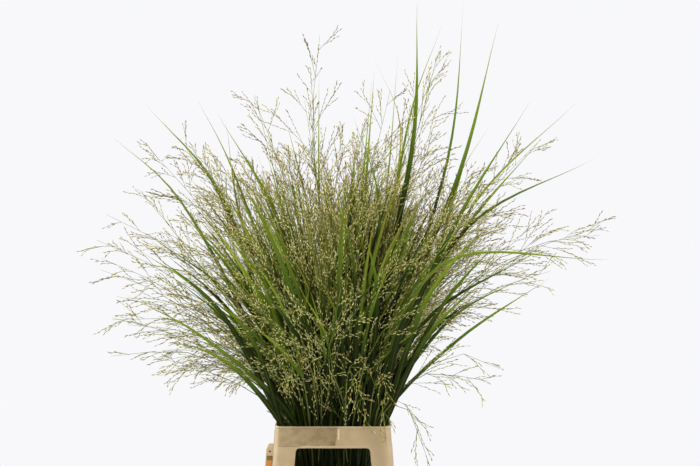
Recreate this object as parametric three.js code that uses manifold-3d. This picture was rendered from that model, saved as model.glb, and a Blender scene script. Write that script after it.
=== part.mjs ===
// A container of cut switchgrass: a nestable flower bucket, a windowed collar standing on the bucket's
// ledge, a card holder on the collar's left wall, and sixteen shoots that stand on the bucket's floor.
// Each shoot is a culm (the jointed stem), an open panicle that carries on from its top, and one or two
// long blades that spring from its joints.
//
// Millimetres, +Z up, +X to the right and +Y to the back. The origin is the centre of the bucket's
// underside. Heights given "over the rim" are counted from the collar's top edge.
import * as THREE from "three";
import { mergeVertices } from "three/addons/utils/BufferGeometryUtils.js";
import Module from "manifold-3d";

const wasm = await Module();
wasm.setup();

// ---------------------------------------------------------------- driving dimensions

const SEAT_GAP = 0.3; // between two pieces that touch

const BUCKET = {
  footHalf: [92, 137], // outside, at the floor
  rimHalf: [111, 156], // outside, at the rim
  height: 236,
  wall: 2.5,
  floor: 3,
  footHeight: 4,
  footInset: 5,
  cornerRadius: 24,
  ledgeZ: 208, // underside of the ledge that the collar stands on
  ledgeThick: 4,
  ledgeOut: 11,
};

const COLLAR = {
  rimHalf: [100, 145], // outside, at the top edge
  flare: 18, // how much wider each side is at the foot
  rim: 480, // height of the top edge
  wall: 3,
  cornerRadius: 20,
  topBand: 34,
  sideBand: 34,
  footBand: 44,
  windowRadius: 9,
};
const COLLAR_FOOT = BUCKET.ledgeZ + BUCKET.ledgeThick + SEAT_GAP;
const RIM = COLLAR.rim;

const CARD_HOLDER = {
  topUnderRim: 41, // top of its hood, below the rim
  height: 92,
  depth: 13.5, // how far it stands off the wall
  hood: 15, // solid part over the card
  wall: 1.6,
  width: 60, // along the wall
  centreY: -74,
  plateRise: 30, // how far its back plate goes on up the collar's top band
  holeRadius: 1.6, // for a cord, through the hood
  roundness: 5,
  frame: 7, // what is left round the opening in its face
};
const CARD_INSET = 1; // how far the card's ends stay inside the holder's

const CULM = {
  footRadius: 2.2,
  topRadius: 1.1,
  sides: 6,
  steps: 7,
  apart: 0.03, // least share of its length between a joint and the next section
  room: 3,
};
const BLADE = {
  thick: 0.9,
  tipThick: 0.4, // as a share of its thickness
  footWidth: 0.45, // as a share of its full width, which it has reached at full
  full: 0.35,
  taper: 0.97, // how much of its width is gone at the tip
  turned: [0.15, 0.5], // the stretch over which its face turns to its own way
  sections: 9,
  room: 1.5,
};
const SPRAY = {
  axisRadius: 1.1,
  tipRadius: 0.6,
  axisSides: 4,
  branchRadius: 0.8,
  twigRadius: 0.5,
  branchSides: 3,
  branches: 7,
  rootShare: 0.4, // how far along its stretch of the axis a branch springs
  reach: [0.46, 0.14], // a branch's length, as a share of the panicle's, at its foot and at its tip
  spread: 0.3, // how much the branches' lengths differ by chance
  slant: [0.8, 0.6], // along the axis and away from it
  nod: 0.08, // how far a branch's end hangs, as a share of its length
  turn: 2.4, // from one branch to the next, in radians
  retryTurn: 0.55,
  tries: 24,
  room: 2.5, // kept clear round a branch
};

const MOUTH_COLUMNS = [-74, -25, 25, 74]; // where the culms pass the rim, left to right
const MOUTH_ROWS = [-105, -35, 35, 105]; // and front to back
const FOOT_SHARE = 0.72; // the culms' feet stand this much closer together than at the rim
const LANE = [11, 8]; // how far beside its culm a blade passes the rim
const PEEL = 0.7; // how far a blade has come off its culm a tenth of the way from its joint to the rim
const COLLAR_ROOM = [8, 6]; // kept clear by branches beside the collar's wall and over its rim
const BACKWARD_BOW = 0.12; // of the way from front to back, how much a bend holds back

// The shoots, column by column, each from front to back. head is the panicle's tip and blades are the
// blades' tips, as x, y and height over the rim. headLength is the panicle's own length. bow says where
// the free part bends, as a share of its length, and how far off the straight line, up and inwards.
// joint is how far under the rim a blade leaves its culm, and turn is how far, in degrees, its face is
// turned from the front.
const SHOOTS = [
  { head: [-386, -110, 186], headLength: 250, bow: [0.6, 36],
    blades: [{ tip: [-354, -170, 228], bow: [0.6, 22], width: 10, joint: 250, turn: 30 }] },
  { head: [-423, -30, 321], headLength: 300, bow: [0.6, 52],
    blades: [{ tip: [-264, -55, 366], bow: [0.6, 26], width: 12, joint: 210, turn: 20 }] },
  { head: [-340, 95, 487], headLength: 300, bow: [0.6, 45],
    blades: [{ tip: [-409, 60, 512], bow: [0.74, 43], width: 10, joint: 180, turn: -35 }] },
  { head: [-300, 250, 515], headLength: 280, bow: [0.6, 40],
    blades: [{ tip: [-362, 180, 581], bow: [0.66, 60], width: 9, joint: 160, turn: 25 },
             { tip: [-348, 300, 560], bow: [0.72, 48], width: 8, joint: 260, turn: -20 }] },
  { head: [-127, -330, 214], headLength: 220, bow: [0.55, 36],
    blades: [{ tip: [-163, -250, 447], bow: [0.6, 20], width: 13, joint: 240, turn: -15 }] },
  { head: [-206, -140, 461], headLength: 300, bow: [0.6, 30],
    blades: [{ tip: [-206, -60, 546], bow: [0.62, 40], width: 11, joint: 200, turn: 35 }] },
  { head: [-149, 90, 587], headLength: 320, bow: [0.65, 28],
    blades: [{ tip: [-195, 20, 533], bow: [0.7, -24], width: 10, joint: 190, turn: 40 }] },
  { head: [-60, 300, 594], headLength: 300, bow: [0.6, 20],
    blades: [{ tip: [-98, 350, 560], bow: [0.6, 28], width: 9, joint: 170, turn: -30 },
             { tip: [-29, 150, 639], bow: [0.6, -6], width: 10, joint: 250, turn: 45 }] },
  { head: [29, -340, 236], headLength: 230, bow: [0.55, 34],
    blades: [{ tip: [24, -300, 448], bow: [0.6, 8], width: 13, joint: 230, turn: 10 }] },
  { head: [98, -180, 577], headLength: 310, bow: [0.6, 20],
    blades: [{ tip: [148, -60, 743], bow: [0.68, -30], width: 13, joint: 220, turn: 15 },
             { tip: [34, -120, 540], bow: [0.7, -54], width: 9, joint: 130, turn: -30 }] },
  { head: [-26, 50, 696], headLength: 340, bow: [0.75, -26],
    blades: [{ tip: [75, 110, 639], bow: [0.6, 4], width: 9, joint: 160, turn: 35 },
             { tip: [295, -20, 710], bow: [0.62, -28], width: 13, joint: 260, turn: -10 }] },
  { head: [203, 215, 678], headLength: 330, bow: [0.6, 24],
    blades: [{ tip: [78, 300, 674], bow: [0.8, -62], width: 8, joint: 170, turn: 30 }] },
  { head: [264, -190, 82], headLength: 170, bow: [0.5, 50],
    blades: [{ tip: [465, -230, 289], bow: [0.53, 154], width: 8, joint: 200, turn: 40 },
             { tip: [343, -110, 562], bow: [0.6, 22], width: 11, joint: 280, turn: -20 }] },
  { head: [383, -80, 267], headLength: 270, bow: [0.6, 56],
    blades: [{ tip: [376, -120, 255], bow: [0.5, 20], width: 9, joint: 230, turn: 25 },
             { tip: [465, -30, 466], bow: [0.6, 92], width: 10, joint: 150, turn: -35 }] },
  { head: [487, 40, 345], headLength: 310, bow: [0.6, 72],
    blades: [{ tip: [380, 90, 504], bow: [0.6, 32], width: 12, joint: 210, turn: 10 },
             { tip: [238, 60, 758], bow: [0.65, -36], width: 9, joint: 130, turn: 30 }] },
  { head: [394, 250, 510], headLength: 300, bow: [0.6, 46],
    blades: [{ tip: [463, 200, 584], bow: [0.6, 62], width: 8, joint: 190, turn: -25 },
             { tip: [210, 290, 741], bow: [0.75, 28], width: 9, joint: 250, turn: 20 }] },
];

// ---------------------------------------------------------------- materials

const plastic = (colour, roughness) =>
  new THREE.MeshStandardMaterial({ color: colour, roughness, metalness: 0 });
const BUCKET_PLASTIC = plastic(0x23282a, 0.5);
const COLLAR_PLASTIC = plastic(0xb7a27c, 0.55);
const CARD_PAPER = plastic(0xc98a3c, 0.8);
const CULM_GREEN = plastic(0x6f8a3a, 0.6);
const BLADE_GREEN = plastic(0x4c7a2a, 0.55);
const SPRAY_TAN = plastic(0x9a7a58, 0.75);

// ---------------------------------------------------------------- solids

const point = (x, y, z) => new THREE.Vector3(x, y, z);

/** A pseudo-random share from 0 to 1 that is always the same for the same number. */
function share(n) {
  const wave = Math.sin(n * 12.9898) * 43758.5453;
  return wave - Math.floor(wave);
}

/**
 * A closed skin over rings of equal length: flat at both ends, or run on from the last ring to the first.
 * The faces that leanBack picks by their number round the ring are split along their other diagonal.
 */
function lofted(rings, { loop = false, leanBack = () => false } = {}) {
  const sides = rings[0].length;
  const stretches = loop ? rings.length : rings.length - 1;
  const faces = [];
  for (let r = 0; r < stretches; r++) {
    const [here, next] = [r * sides, ((r + 1) % rings.length) * sides];
    for (let i = 0; i < sides; i++) {
      const j = (i + 1) % sides;
      if (leanBack(i)) faces.push(here + i, here + j, next + i, here + j, next + j, next + i);
      else faces.push(here + i, here + j, next + j, here + i, next + j, next + i);
    }
  }
  const last = (rings.length - 1) * sides;
  for (let i = 1; i + 1 < sides && !loop; i++) {
    faces.push(0, i + 1, i, last, last + i, last + i + 1);
  }
  const geometry = new THREE.BufferGeometry();
  const positions = rings.flat().flatMap((p) => [p.x, p.y, p.z]);
  geometry.setAttribute("position", new THREE.Float32BufferAttribute(positions, 3));
  geometry.setIndex(faces);
  return geometry;
}

function named(geometry, material, name) {
  const mesh = new THREE.Mesh(geometry, material);
  mesh.name = name;
  return mesh;
}

/** A level ring of points round a rectangle with round corners. */
function roundedRing([halfX, halfY], radius, z, perCorner = 5) {
  const ring = [];
  for (const [sx, sy, start] of [[1, -1, -90], [1, 1, 0], [-1, 1, 90], [-1, -1, 180]]) {
    for (let i = 0; i <= perCorner; i++) {
      const turn = THREE.MathUtils.degToRad(start + (90 * i) / perCorner);
      const x = sx * (halfX - radius) + radius * Math.cos(turn);
      const y = sy * (halfY - radius) + radius * Math.sin(turn);
      ring.push(point(x, y, z));
    }
  }
  return ring;
}

const grown = (half, by) => half.map((h) => h + by);

/** A three.js geometry as a manifold-3d solid. */
function solidOf(geometry) {
  const bare = geometry.index ? geometry.toNonIndexed() : geometry.clone();
  for (const attribute of Object.keys(bare.attributes)) {
    if (attribute !== "position") bare.deleteAttribute(attribute);
  }
  const merged = mergeVertices(bare, 1e-4);
  return new wasm.Manifold(new wasm.Mesh({
    numProp: 3,
    vertProperties: merged.attributes.position.array,
    triVerts: new Uint32Array(merged.index.array),
  }));
}

function geometryOf(solid) {
  const mesh = solid.getMesh();
  const geometry = new THREE.BufferGeometry();
  geometry.setAttribute("position", new THREE.Float32BufferAttribute(mesh.vertProperties, 3));
  geometry.setIndex(new THREE.BufferAttribute(mesh.triVerts, 1));
  return geometry;
}

// ---------------------------------------------------------------- the container

/** The bucket's outside half sizes at a height. */
function bucketHalf(z) {
  return BUCKET.footHalf.map((foot, i) =>
    THREE.MathUtils.lerp(foot, BUCKET.rimHalf[i], z / BUCKET.height));
}

/** The collar's outside half sizes at a height: narrowest at the rim. */
function collarHalf(z) {
  const down = (RIM - z) / (RIM - COLLAR_FOOT);
  return COLLAR.rimHalf.map((half) => half + COLLAR.flare * down);
}

function bucket() {
  const { footHeight, footInset, floor, wall, height, cornerRadius, ledgeZ, ledgeThick, ledgeOut } = BUCKET;
  const outside = (z, out = 0, at = z) =>
    roundedRing(grown(bucketHalf(at), out), cornerRadius + out / 2, z);
  const inside = (z, inset = 0) =>
    roundedRing(grown(bucketHalf(z), -wall - inset), cornerRadius - wall, z);
  const skin = lofted([
    outside(0, -footInset),
    outside(footHeight),
    outside(ledgeZ),
    outside(ledgeZ, ledgeOut),
    outside(ledgeZ + ledgeThick, ledgeOut, ledgeZ),
    outside(ledgeZ + ledgeThick),
    outside(height),
    inside(height),
    inside(footHeight + floor),
    inside(floor, footInset),
  ]);
  return named(skin, BUCKET_PLASTIC, "bucket");
}

/** A window's outline seen square on: a trapezium with round corners, wider at the foot. */
function windowShape(halfAt) {
  const top = RIM - COLLAR.topBand;
  const foot = COLLAR_FOOT + COLLAR.footBand;
  const [a, b] = [halfAt(top) - COLLAR.sideBand, halfAt(foot) - COLLAR.sideBand];
  const r = COLLAR.windowRadius;
  const shape = new THREE.Shape();
  shape.moveTo(-b + r, foot);
  shape.lineTo(b - r, foot);
  shape.quadraticCurveTo(b, foot, b, foot + r);
  shape.lineTo(a, top - r);
  shape.quadraticCurveTo(a, top, a - r, top);
  shape.lineTo(-a + r, top);
  shape.quadraticCurveTo(-a, top, -a, top - r);
  shape.lineTo(-b, foot + r);
  shape.quadraticCurveTo(-b, foot, -b + r, foot);
  return shape;
}

/** A bar of the window's outline that runs right through the collar, along Y, or along X if turned. */
function windowBar(axis) {
  const reach = 2 * (COLLAR.rimHalf[1 - axis] + COLLAR.flare + COLLAR.wall);
  const shape = windowShape((z) => collarHalf(z)[axis]);
  const bar = new THREE.ExtrudeGeometry(shape, { depth: reach, bevelEnabled: false, curveSegments: 4 });
  bar.rotateX(Math.PI / 2);
  bar.translate(0, reach / 2, 0);
  if (axis === 1) bar.rotateZ(Math.PI / 2);
  return solidOf(bar);
}

function collar() {
  const ring = (z, inwards) => roundedRing(grown(collarHalf(z), -inwards), COLLAR.cornerRadius - inwards, z);
  const { wall } = COLLAR;
  const outline = [ring(COLLAR_FOOT, 0), ring(RIM, 0), ring(RIM, wall), ring(COLLAR_FOOT, wall)];
  const sleeve = lofted(outline, { loop: true });
  const cut = solidOf(sleeve).subtract(windowBar(0)).subtract(windowBar(1));
  return named(geometryOf(cut), COLLAR_PLASTIC, "collar");
}

/** Turns a piece drawn against an upright wall so that it lies on the collar's sloping left wall. */
function ontoLeftWall(geometry) {
  const topZ = RIM - CARD_HOLDER.topUnderRim;
  const slope = Math.atan2(COLLAR.flare, RIM - COLLAR_FOOT);
  geometry.rotateY(slope);
  geometry.translate(-collarHalf(topZ)[0] - SEAT_GAP, CARD_HOLDER.centreY, topZ);
  return geometry;
}

/** Extrudes an outline, drawn as outwards by upwards, along the left wall. */
function alongLeftWall(outline, width) {
  const bar = new THREE.ExtrudeGeometry(outline, { depth: width, bevelEnabled: false, curveSegments: 5 });
  bar.rotateX(Math.PI / 2);
  bar.translate(0, width / 2, 0);
  return bar;
}

/** A sleeve with a solid hood, open at both ends, with an opening in its face to read the card by. */
function cardHolder() {
  const { height, depth, hood, wall, width, plateRise, holeRadius, roundness, frame } = CARD_HOLDER;
  const outline = new THREE.Shape();
  outline.moveTo(0, plateRise);
  outline.lineTo(-wall, plateRise);
  outline.lineTo(-wall, 0);
  outline.lineTo(-depth + roundness, 0);
  outline.quadraticCurveTo(-depth, 0, -depth, -roundness);
  outline.lineTo(-depth, -height);
  outline.lineTo(0, -height);
  outline.closePath();
  const room = new THREE.Path([
    new THREE.Vector2(-wall, -hood),
    new THREE.Vector2(-wall, -height + wall),
    new THREE.Vector2(-depth + wall, -height + wall),
    new THREE.Vector2(-depth + wall, -hood),
  ]);
  const cordHole = new THREE.Path().absarc(-depth / 2, -hood / 2, holeRadius, 0, 2 * Math.PI, false);
  outline.holes.push(room, cordHole);
  const opening = new THREE.BoxGeometry(3 * wall, width - 2 * frame, height - hood - 2 * frame);
  opening.translate(-depth, 0, -(hood + height) / 2);
  const cut = solidOf(alongLeftWall(outline, width)).subtract(solidOf(opening));
  return named(ontoLeftWall(geometryOf(cut)), COLLAR_PLASTIC, "card_holder");
}

/** The thick card that fills the holder's sleeve. */
function card() {
  const { height, depth, hood, wall, width } = CARD_HOLDER;
  const [thick, long] = [depth - 2 * wall - 2 * SEAT_GAP, height - hood - wall - 2 * SEAT_GAP];
  const slab = new THREE.BoxGeometry(thick, width - 2 * CARD_INSET, long);
  slab.translate(-depth / 2, 0, -hood - SEAT_GAP - long / 2);
  return named(ontoLeftWall(slab), CARD_PAPER, "card");
}

// ---------------------------------------------------------------- the shoots

/** Where a free part bends: a share of its way along, and off the straight line, up and inwards. */
function bowed(from, to, [along, off]) {
  const chord = to.clone().sub(from);
  const flat = Math.hypot(chord.x, chord.z);
  const side = chord.x < 0 ? 1 : -1;
  const bend = from.clone().lerp(to, along);
  bend.x += (side * off * chord.z) / flat;
  bend.z += (-side * off * chord.x) / flat;
  bend.y -= BACKWARD_BOW * chord.y;
  return bend;
}

/** A shoot's culm and panicle on one line: foot, mouth, middle, tip. */
function shootLine(shoot, mouth) {
  const foot = point(mouth.x * FOOT_SHARE, mouth.y * FOOT_SHARE, BUCKET.floor + SEAT_GAP);
  const tip = point(shoot.head[0], shoot.head[1], RIM + shoot.head[2]);
  return new THREE.CatmullRomCurve3([foot, mouth, bowed(mouth, tip, shoot.bow), tip], false, "centripetal");
}

/** How far along a rising line, as a share of its length, it passes a height. */
function shareAt(line, z) {
  let [low, high] = [0, 1];
  for (let halving = 0; halving < 20; halving++) {
    const middle = (low + high) / 2;
    if (line.getPointAt(middle).z < z) low = middle;
    else high = middle;
  }
  return low;
}

const atHeight = (line, z) => line.getPointAt(shareAt(line, z));

/** The way a blade moves off its culm: to the side it leans to, and a second blade to the other row. */
function leavingWay(blade, shoot, mouth, order) {
  const lean = ([x, y, z]) => [(x - mouth.x) / z, (y - mouth.y) / z];
  const [culmX, culmY] = lean(shoot.head);
  const row = (order ? -1 : 1) * Math.sign(lean(shoot.blades[0].tip)[1] - culmY);
  return point(Math.sign(lean(blade.tip)[0] - culmX) * LANE[0], row * LANE[1], 0);
}

/** A blade's line: it leaves the culm's side at its joint, passes the rim beside it, and goes its way. */
function bladeLine(blade, line, away) {
  const beside = (down, reach) => atHeight(line, RIM - down).addScaledVector(away, reach / away.length());
  const touch = culmRadiusAt(line, RIM - blade.joint) + SEAT_GAP + BLADE.thick / 2;
  const lane = beside(0, away.length());
  const [x, y, z] = blade.tip;
  const tip = point(x, y, RIM + z);
  return new THREE.CatmullRomCurve3([
    beside(blade.joint, touch),
    beside(blade.joint * 0.9, touch + PEEL),
    beside(blade.joint * 0.5, away.length() * 0.6),
    lane,
    bowed(lane, tip, blade.bow),
    tip,
  ], false, "centripetal");
}

function culmRadiusAt(line, z) {
  const end = line.getPoint(1).z;
  return THREE.MathUtils.lerp(CULM.footRadius, CULM.topRadius, THREE.MathUtils.clamp(z / end, 0, 1));
}

/** A regular ring of points round a line's point, square to its direction. */
function tubeRing(at, along, radius, sides) {
  const aside = point(0, 1, 0).cross(along).normalize();
  const up = along.clone().cross(aside);
  return Array.from({ length: sides }, (_, i) => {
    const turn = (2 * Math.PI * i) / sides;
    return at.clone()
      .addScaledVector(aside, radius * Math.cos(turn))
      .addScaledVector(up, radius * Math.sin(turn));
  });
}

/** Rings along a line at shares of its length; radiusAt is told the share of the tube itself. */
function tubeAlong(line, shares, radiusAt, sides) {
  const [from, to] = [shares[0], shares.at(-1)];
  return shares.map((u) =>
    tubeRing(line.getPointAt(u), line.getTangentAt(u), radiusAt((u - from) / (to - from)), sides));
}

const evenShares = (from, to, steps) =>
  Array.from({ length: steps + 1 }, (_, i) => THREE.MathUtils.lerp(from, to, i / steps));

/** A culm: a ring at every blade's joint, and enough between them for its bend. */
function culm(shoot, name) {
  const { line, headLength, blades } = shoot;
  const end = 1 - headLength / line.getLength();
  const joints = blades.map((b) => shareAt(line, RIM - b.joint));
  const between = evenShares(0, end, CULM.steps)
    .filter((u) => joints.every((joint) => Math.abs(joint - u) > CULM.apart));
  const shares = [...between, ...joints].sort((a, b) => a - b);
  const radiusAt = (t) => THREE.MathUtils.lerp(CULM.footRadius, CULM.topRadius, t);
  const rings = tubeAlong(line, shares, radiusAt, CULM.sides);
  for (const p of rings[0]) p.z = BUCKET.floor + SEAT_GAP; // the cut foot is level
  return named(lofted(rings), CULM_GREEN, name);
}

/** A blade: four-cornered sections, flat to its culm at the foot, turned to its own face higher up. */
function blade(line, { width, turn, away }, name) {
  const { lerp, smoothstep, degToRad, radToDeg } = THREE.MathUtils;
  const wrapped = radToDeg(Math.atan2(away.x, -away.y));
  const atFoot = Math.abs(wrapped - turn) > 90 ? wrapped - Math.sign(wrapped) * 180 : wrapped;
  const rings = evenShares(0, 1, BLADE.sections).map((t) => {
    const [at, along] = [line.getPointAt(t), line.getTangentAt(t)];
    const opened = lerp(BLADE.footWidth, 1, smoothstep(t, 0, BLADE.full));
    const half = (width / 2) * opened * (1 - BLADE.taper * t ** 3);
    const thick = (BLADE.thick / 2) * lerp(1, BLADE.tipThick, t);
    const face = lerp(atFoot, turn, smoothstep(t, ...BLADE.turned));
    const level = point(0, 1, 0).cross(along).normalize();
    const wide = level.applyAxisAngle(along, degToRad(face));
    const flat = along.clone().cross(wide);
    return [
      at.clone().addScaledVector(wide, half),
      at.clone().addScaledVector(flat, thick),
      at.clone().addScaledVector(wide, -half),
      at.clone().addScaledVector(flat, -thick),
    ];
  });
  // all faces are split from the edge to the midrib, so that a twisted blade keeps its thickness
  return named(lofted(rings, { leanBack: (i) => i % 2 === 1 }), BLADE_GREEN, name);
}

/** True if a point is inside the collar or nearer to it than a branch may come. */
function nearCollar(p) {
  const [beside, over] = COLLAR_ROOM;
  const [halfX, halfY] = COLLAR.rimHalf;
  return p.z < RIM + over && (Math.abs(p.x) > halfX - beside || Math.abs(p.y) > halfY - beside);
}

/** A branch's line: it leaves the axis at a slant, goes out, and nods a little at its end. */
function branchLine(root, along, length, turn) {
  const aside = point(0, 1, 0).cross(along).normalize().applyAxisAngle(along, turn);
  const [forwards, sideways] = SPRAY.slant;
  const heading = along.clone().multiplyScalar(forwards).addScaledVector(aside, sideways).normalize();
  const middle = root.clone().addScaledVector(heading, length / 2);
  const end = root.clone().addScaledVector(heading, length);
  end.z -= SPRAY.nod * length;
  return new THREE.CatmullRomCurve3([root, middle, end], false, "centripetal");
}

/** A panicle: an axis with slanting branches, each turned until it stands clear of what is already there. */
function panicle(line, headLength, taken, name, seed) {
  const from = 1 - (headLength - SEAT_GAP) / line.getLength();
  const centre = (k) => line.getPointAt(THREE.MathUtils.lerp(from, 1, k / SPRAY.branches));
  const axisRadius = (t) => THREE.MathUtils.lerp(SPRAY.axisRadius, SPRAY.tipRadius, t);
  const twigRadius = (t) => THREE.MathUtils.lerp(SPRAY.branchRadius, SPRAY.twigRadius, t);
  const axis = tubeAlong(line, evenShares(from, 1, SPRAY.branches), axisRadius, SPRAY.axisSides);
  let solid = solidOf(lofted(axis));
  for (let k = 0; k < SPRAY.branches; k++) {
    const [low, high] = [centre(k), centre(k + 1)];
    const root = low.clone().lerp(high, SPRAY.rootShare);
    const along = high.clone().sub(low).normalize();
    const reach = THREE.MathUtils.lerp(...SPRAY.reach, k / SPRAY.branches);
    const length = headLength * reach * (1 + SPRAY.spread * (share(seed * 31 + k) - 0.5));
    for (let attempt = 0; attempt < SPRAY.tries; attempt++) {
      const turn = seed + k * SPRAY.turn + attempt * SPRAY.retryTurn;
      const branch = branchLine(root, along, length, turn);
      const path = branch.getSpacedPoints(10);
      const free = path.slice(1).every((p) => !nearCollar(p) && taken.every((t) => t.clearOf(p)));
      if (!free) continue;
      const rings = tubeAlong(branch, evenShares(0, 1, 2), twigRadius, SPRAY.branchSides);
      solid = solid.add(solidOf(lofted(rings)));
      taken.push(new Taken(path.slice(2), SPRAY.room));
      break;
    }
  }
  return named(geometryOf(solid), SPRAY_TAN, name);
}

/** Points that hold a room of their own round them, which a new branch keeps out of. */
class Taken {
  constructor(points, room) {
    this.room = room;
    this.runs = points.slice(1).map((p, i) => new THREE.Line3(points[i], p));
    this.box = new THREE.Box3().setFromPoints(points).expandByScalar(room);
    this.nearest = point(0, 0, 0);
  }

  clearOf(p) {
    if (!this.box.containsPoint(p)) return true;
    return this.runs.every((run) => {
      run.closestPointToPoint(p, true, this.nearest);
      return this.nearest.distanceTo(p) > this.room;
    });
  }
}

// ---------------------------------------------------------------- the whole

const shoots = SHOOTS.map((shoot, i) => {
  const [column, row] = [Math.floor(i / MOUTH_ROWS.length), i % MOUTH_ROWS.length];
  const mouth = point(MOUTH_COLUMNS[column], MOUTH_ROWS[row], RIM);
  const number = String(i + 1).padStart(2, "0");
  const line = shootLine(shoot, mouth);
  const blades = shoot.blades.map((b, order) => {
    const away = leavingWay(b, shoot, mouth, order);
    return { ...b, away, line: bladeLine(b, line, away), name: "leaf_" + number + "_" + "ab"[order] };
  });
  const room = new Taken(line.getSpacedPoints(60), CULM.room);
  return { ...shoot, number, line, blades, room };
});

const bladeRooms = shoots.flatMap((shoot) =>
  shoot.blades.map((b) => new Taken(b.line.getSpacedPoints(60), b.width / 2 + BLADE.room)));
const branchRooms = [];

const switchgrass = new THREE.Group();
switchgrass.add(bucket(), collar(), cardHolder(), card());

shoots.forEach((shoot, i) => {
  const { line, headLength, number } = shoot;
  const otherCulms = shoots.filter((other) => other !== shoot).map((other) => other.room);
  const taken = [...otherCulms, ...bladeRooms, ...branchRooms];
  const before = taken.length;
  switchgrass.add(culm(shoot, "culm_" + number));
  shoot.blades.forEach((b) => switchgrass.add(blade(b.line, b, b.name)));
  switchgrass.add(panicle(line, headLength, taken, "panicle_" + number, i + 1));
  branchRooms.push(...taken.slice(before));
});

export default switchgrass;
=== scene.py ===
# A bunch of cut switchgrass standing in its transport container: a dark tapered bucket, a windowed
# collar on the bucket's ledge, a card holder on the collar, and the grass itself, whose stems stand on
# the bucket's floor. Lengths in the tables are in millimetres; meshes are in metres.
import math

import bmesh
import bpy
import numpy as np
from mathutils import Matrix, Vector


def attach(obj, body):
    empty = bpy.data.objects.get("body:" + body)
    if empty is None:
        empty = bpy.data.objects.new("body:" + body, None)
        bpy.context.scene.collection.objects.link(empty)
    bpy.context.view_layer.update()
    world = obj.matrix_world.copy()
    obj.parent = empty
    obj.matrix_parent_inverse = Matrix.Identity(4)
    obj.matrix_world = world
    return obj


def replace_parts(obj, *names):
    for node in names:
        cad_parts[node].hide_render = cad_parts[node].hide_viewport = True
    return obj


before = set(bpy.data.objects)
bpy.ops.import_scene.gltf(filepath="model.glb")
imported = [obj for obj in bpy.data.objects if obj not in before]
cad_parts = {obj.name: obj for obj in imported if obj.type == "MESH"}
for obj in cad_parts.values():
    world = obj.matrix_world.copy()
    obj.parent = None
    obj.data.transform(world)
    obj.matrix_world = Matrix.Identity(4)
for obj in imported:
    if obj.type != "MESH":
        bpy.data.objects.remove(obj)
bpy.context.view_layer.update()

bl_info = {
    "name": "Bunch of switchgrass",
    "version": (1, 0, 0),
    "blender": (4, 5, 0),
    "location": "View3D > Sidebar > Switchgrass",
    "description": "Models a bunch of cut switchgrass in its transport container",
    "category": "Mesh",
}

MM = 0.001
BAKE_MAP = "OFBake"

# ---------------------------------------------------------------- measures of the container

RIM = 480.0  # height of the collar's top edge
COLLAR_FOOT = 212.3
COLLAR_HALF = np.array([100.0, 145.0])  # outside, at the rim
COLLAR_FLARE = 18.0  # how much further out its walls stand at their foot
COLLAR_SLOPE = COLLAR_FLARE / (RIM - COLLAR_FOOT)
COLLAR_WALL = 3.0
COLLAR_CORNER = 20.0
WINDOW_EDGE = 14.0  # wall left all round a window
WINDOW_OVER = 20.0  # how much more is left over it
WINDOW_UNDER = 30.0  # how much more is left under it
WINDOW_CORNER = 9.0
BEAD_SLANT, BEAD_HEIGHT, BEAD_WIDTH = 1.2, 0.8, 2.2
LIP_FROM, LIP_TO = 475.5, 476.8  # heights between which the top edge turns out
RIB_ACROSS = 9.5
RIB_PARTS = ((458.5, 1.2, 16.5), (457.8, 2.1, 0.0))  # the rib and its knob: foot, radius, length

BUCKET_FOOT_HALF = np.array([92.0, 137.0])
BUCKET_RIM_HALF = np.array([111.0, 156.0])
BUCKET_HEIGHT = 236.0
BUCKET_FLOOR = 3.0
BUCKET_CORNER = 24.0
LEDGE, LEDGE_TOP = 208.0, 212.0
LEDGE_OUT = 11.0
# the bucket's profile, as heights and how far out of its tapered wall: up to the ledge, then on over
# the rim and down inside to the floor
PROFILE_BELOW = ((0, -5.0), (1.2, -2.0), (4.0, 0.0), (60, 0.0), (130, 0.0), (LEDGE, 0.0))
PROFILE_ABOVE = ((LEDGE_TOP, 0.0), (228, 0.0), (229, 1.4), (233.5, 1.8), (235.5, 1.2), (236, 0.0),
                 (236, -1.2), (235, -2.5), (130, -2.5), (7, -2.5), (BUCKET_FLOOR, -7.0))
RING_WIDTH, RING_SLANT, RING_HEIGHT = 6.0, 1.2, 1.6  # the ring that it stands on
GUSSET = (11.0, 2.0, 18.0)
GUSSET_SLANT = 8.5
GUSSET_OUT, GUSSET_DOWN = 4.6, 9.2  # its middle, from the wall and from the ledge
GUSSET_MARGIN = 34.0  # from the bucket's corner to the outermost fins

# what heads and twigs keep out of, under a height: the collar's wall, by how far out of its outside,
# and a box round the card holder
CLEAR_ABOVE = RIM + 3
WALL_ZONE = (-7, 3)
HOLDER_ZONE = ((-135, -95), (-110, -38), (340, CLEAR_ABOVE))

# ---------------------------------------------------------------- the shoots

MOUTH_COLUMNS = (-74, -25, 25, 74)  # where the main culms pass the rim
MOUTH_ROWS = (-105, -35, 35, 105)
FOOT_SHARE = 0.72  # how far out a culm stands on the floor, by how far out it passes the rim
LANE = (11, 8)  # how far beside its culm a blade passes the rim
CORNER_LANE = (15, -17)
PEEL = 0.7  # how far a blade has come off its culm when it is a tenth of the way up to the rim
SEAT_GAP = 0.3
BACKWARD_BOW = 0.12
CULM_RADII = (2.2, 1.1)  # at its foot and at its tip
INTERNODES = 7
SHEATH = 0.1  # a sheath's length, by its culm's
BLADE_THICK = 0.9
BLADE_HALF = 5.0  # half the width that a blade's thickness is given for
GOLDEN_TURN = 2.39996  # from one shoot or branch round to the next, in radians
SIDEWAYS = 0.26  # how much more of the further shoots lean to the sides than to front and back
MOUTH_REACH, MOUTH_LIMIT = (82, 122), (84, 127)  # how far out the further shoots pass the rim
DOME_SIDE, DOME_RISE, DOME_DEPTH = 450, 240, 0.72  # the bunch's reach, how much more upwards, its depth
FIRST_BARE, FIRST_FURTHER = 40, 60  # numbers that their seeds begin at
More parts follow.
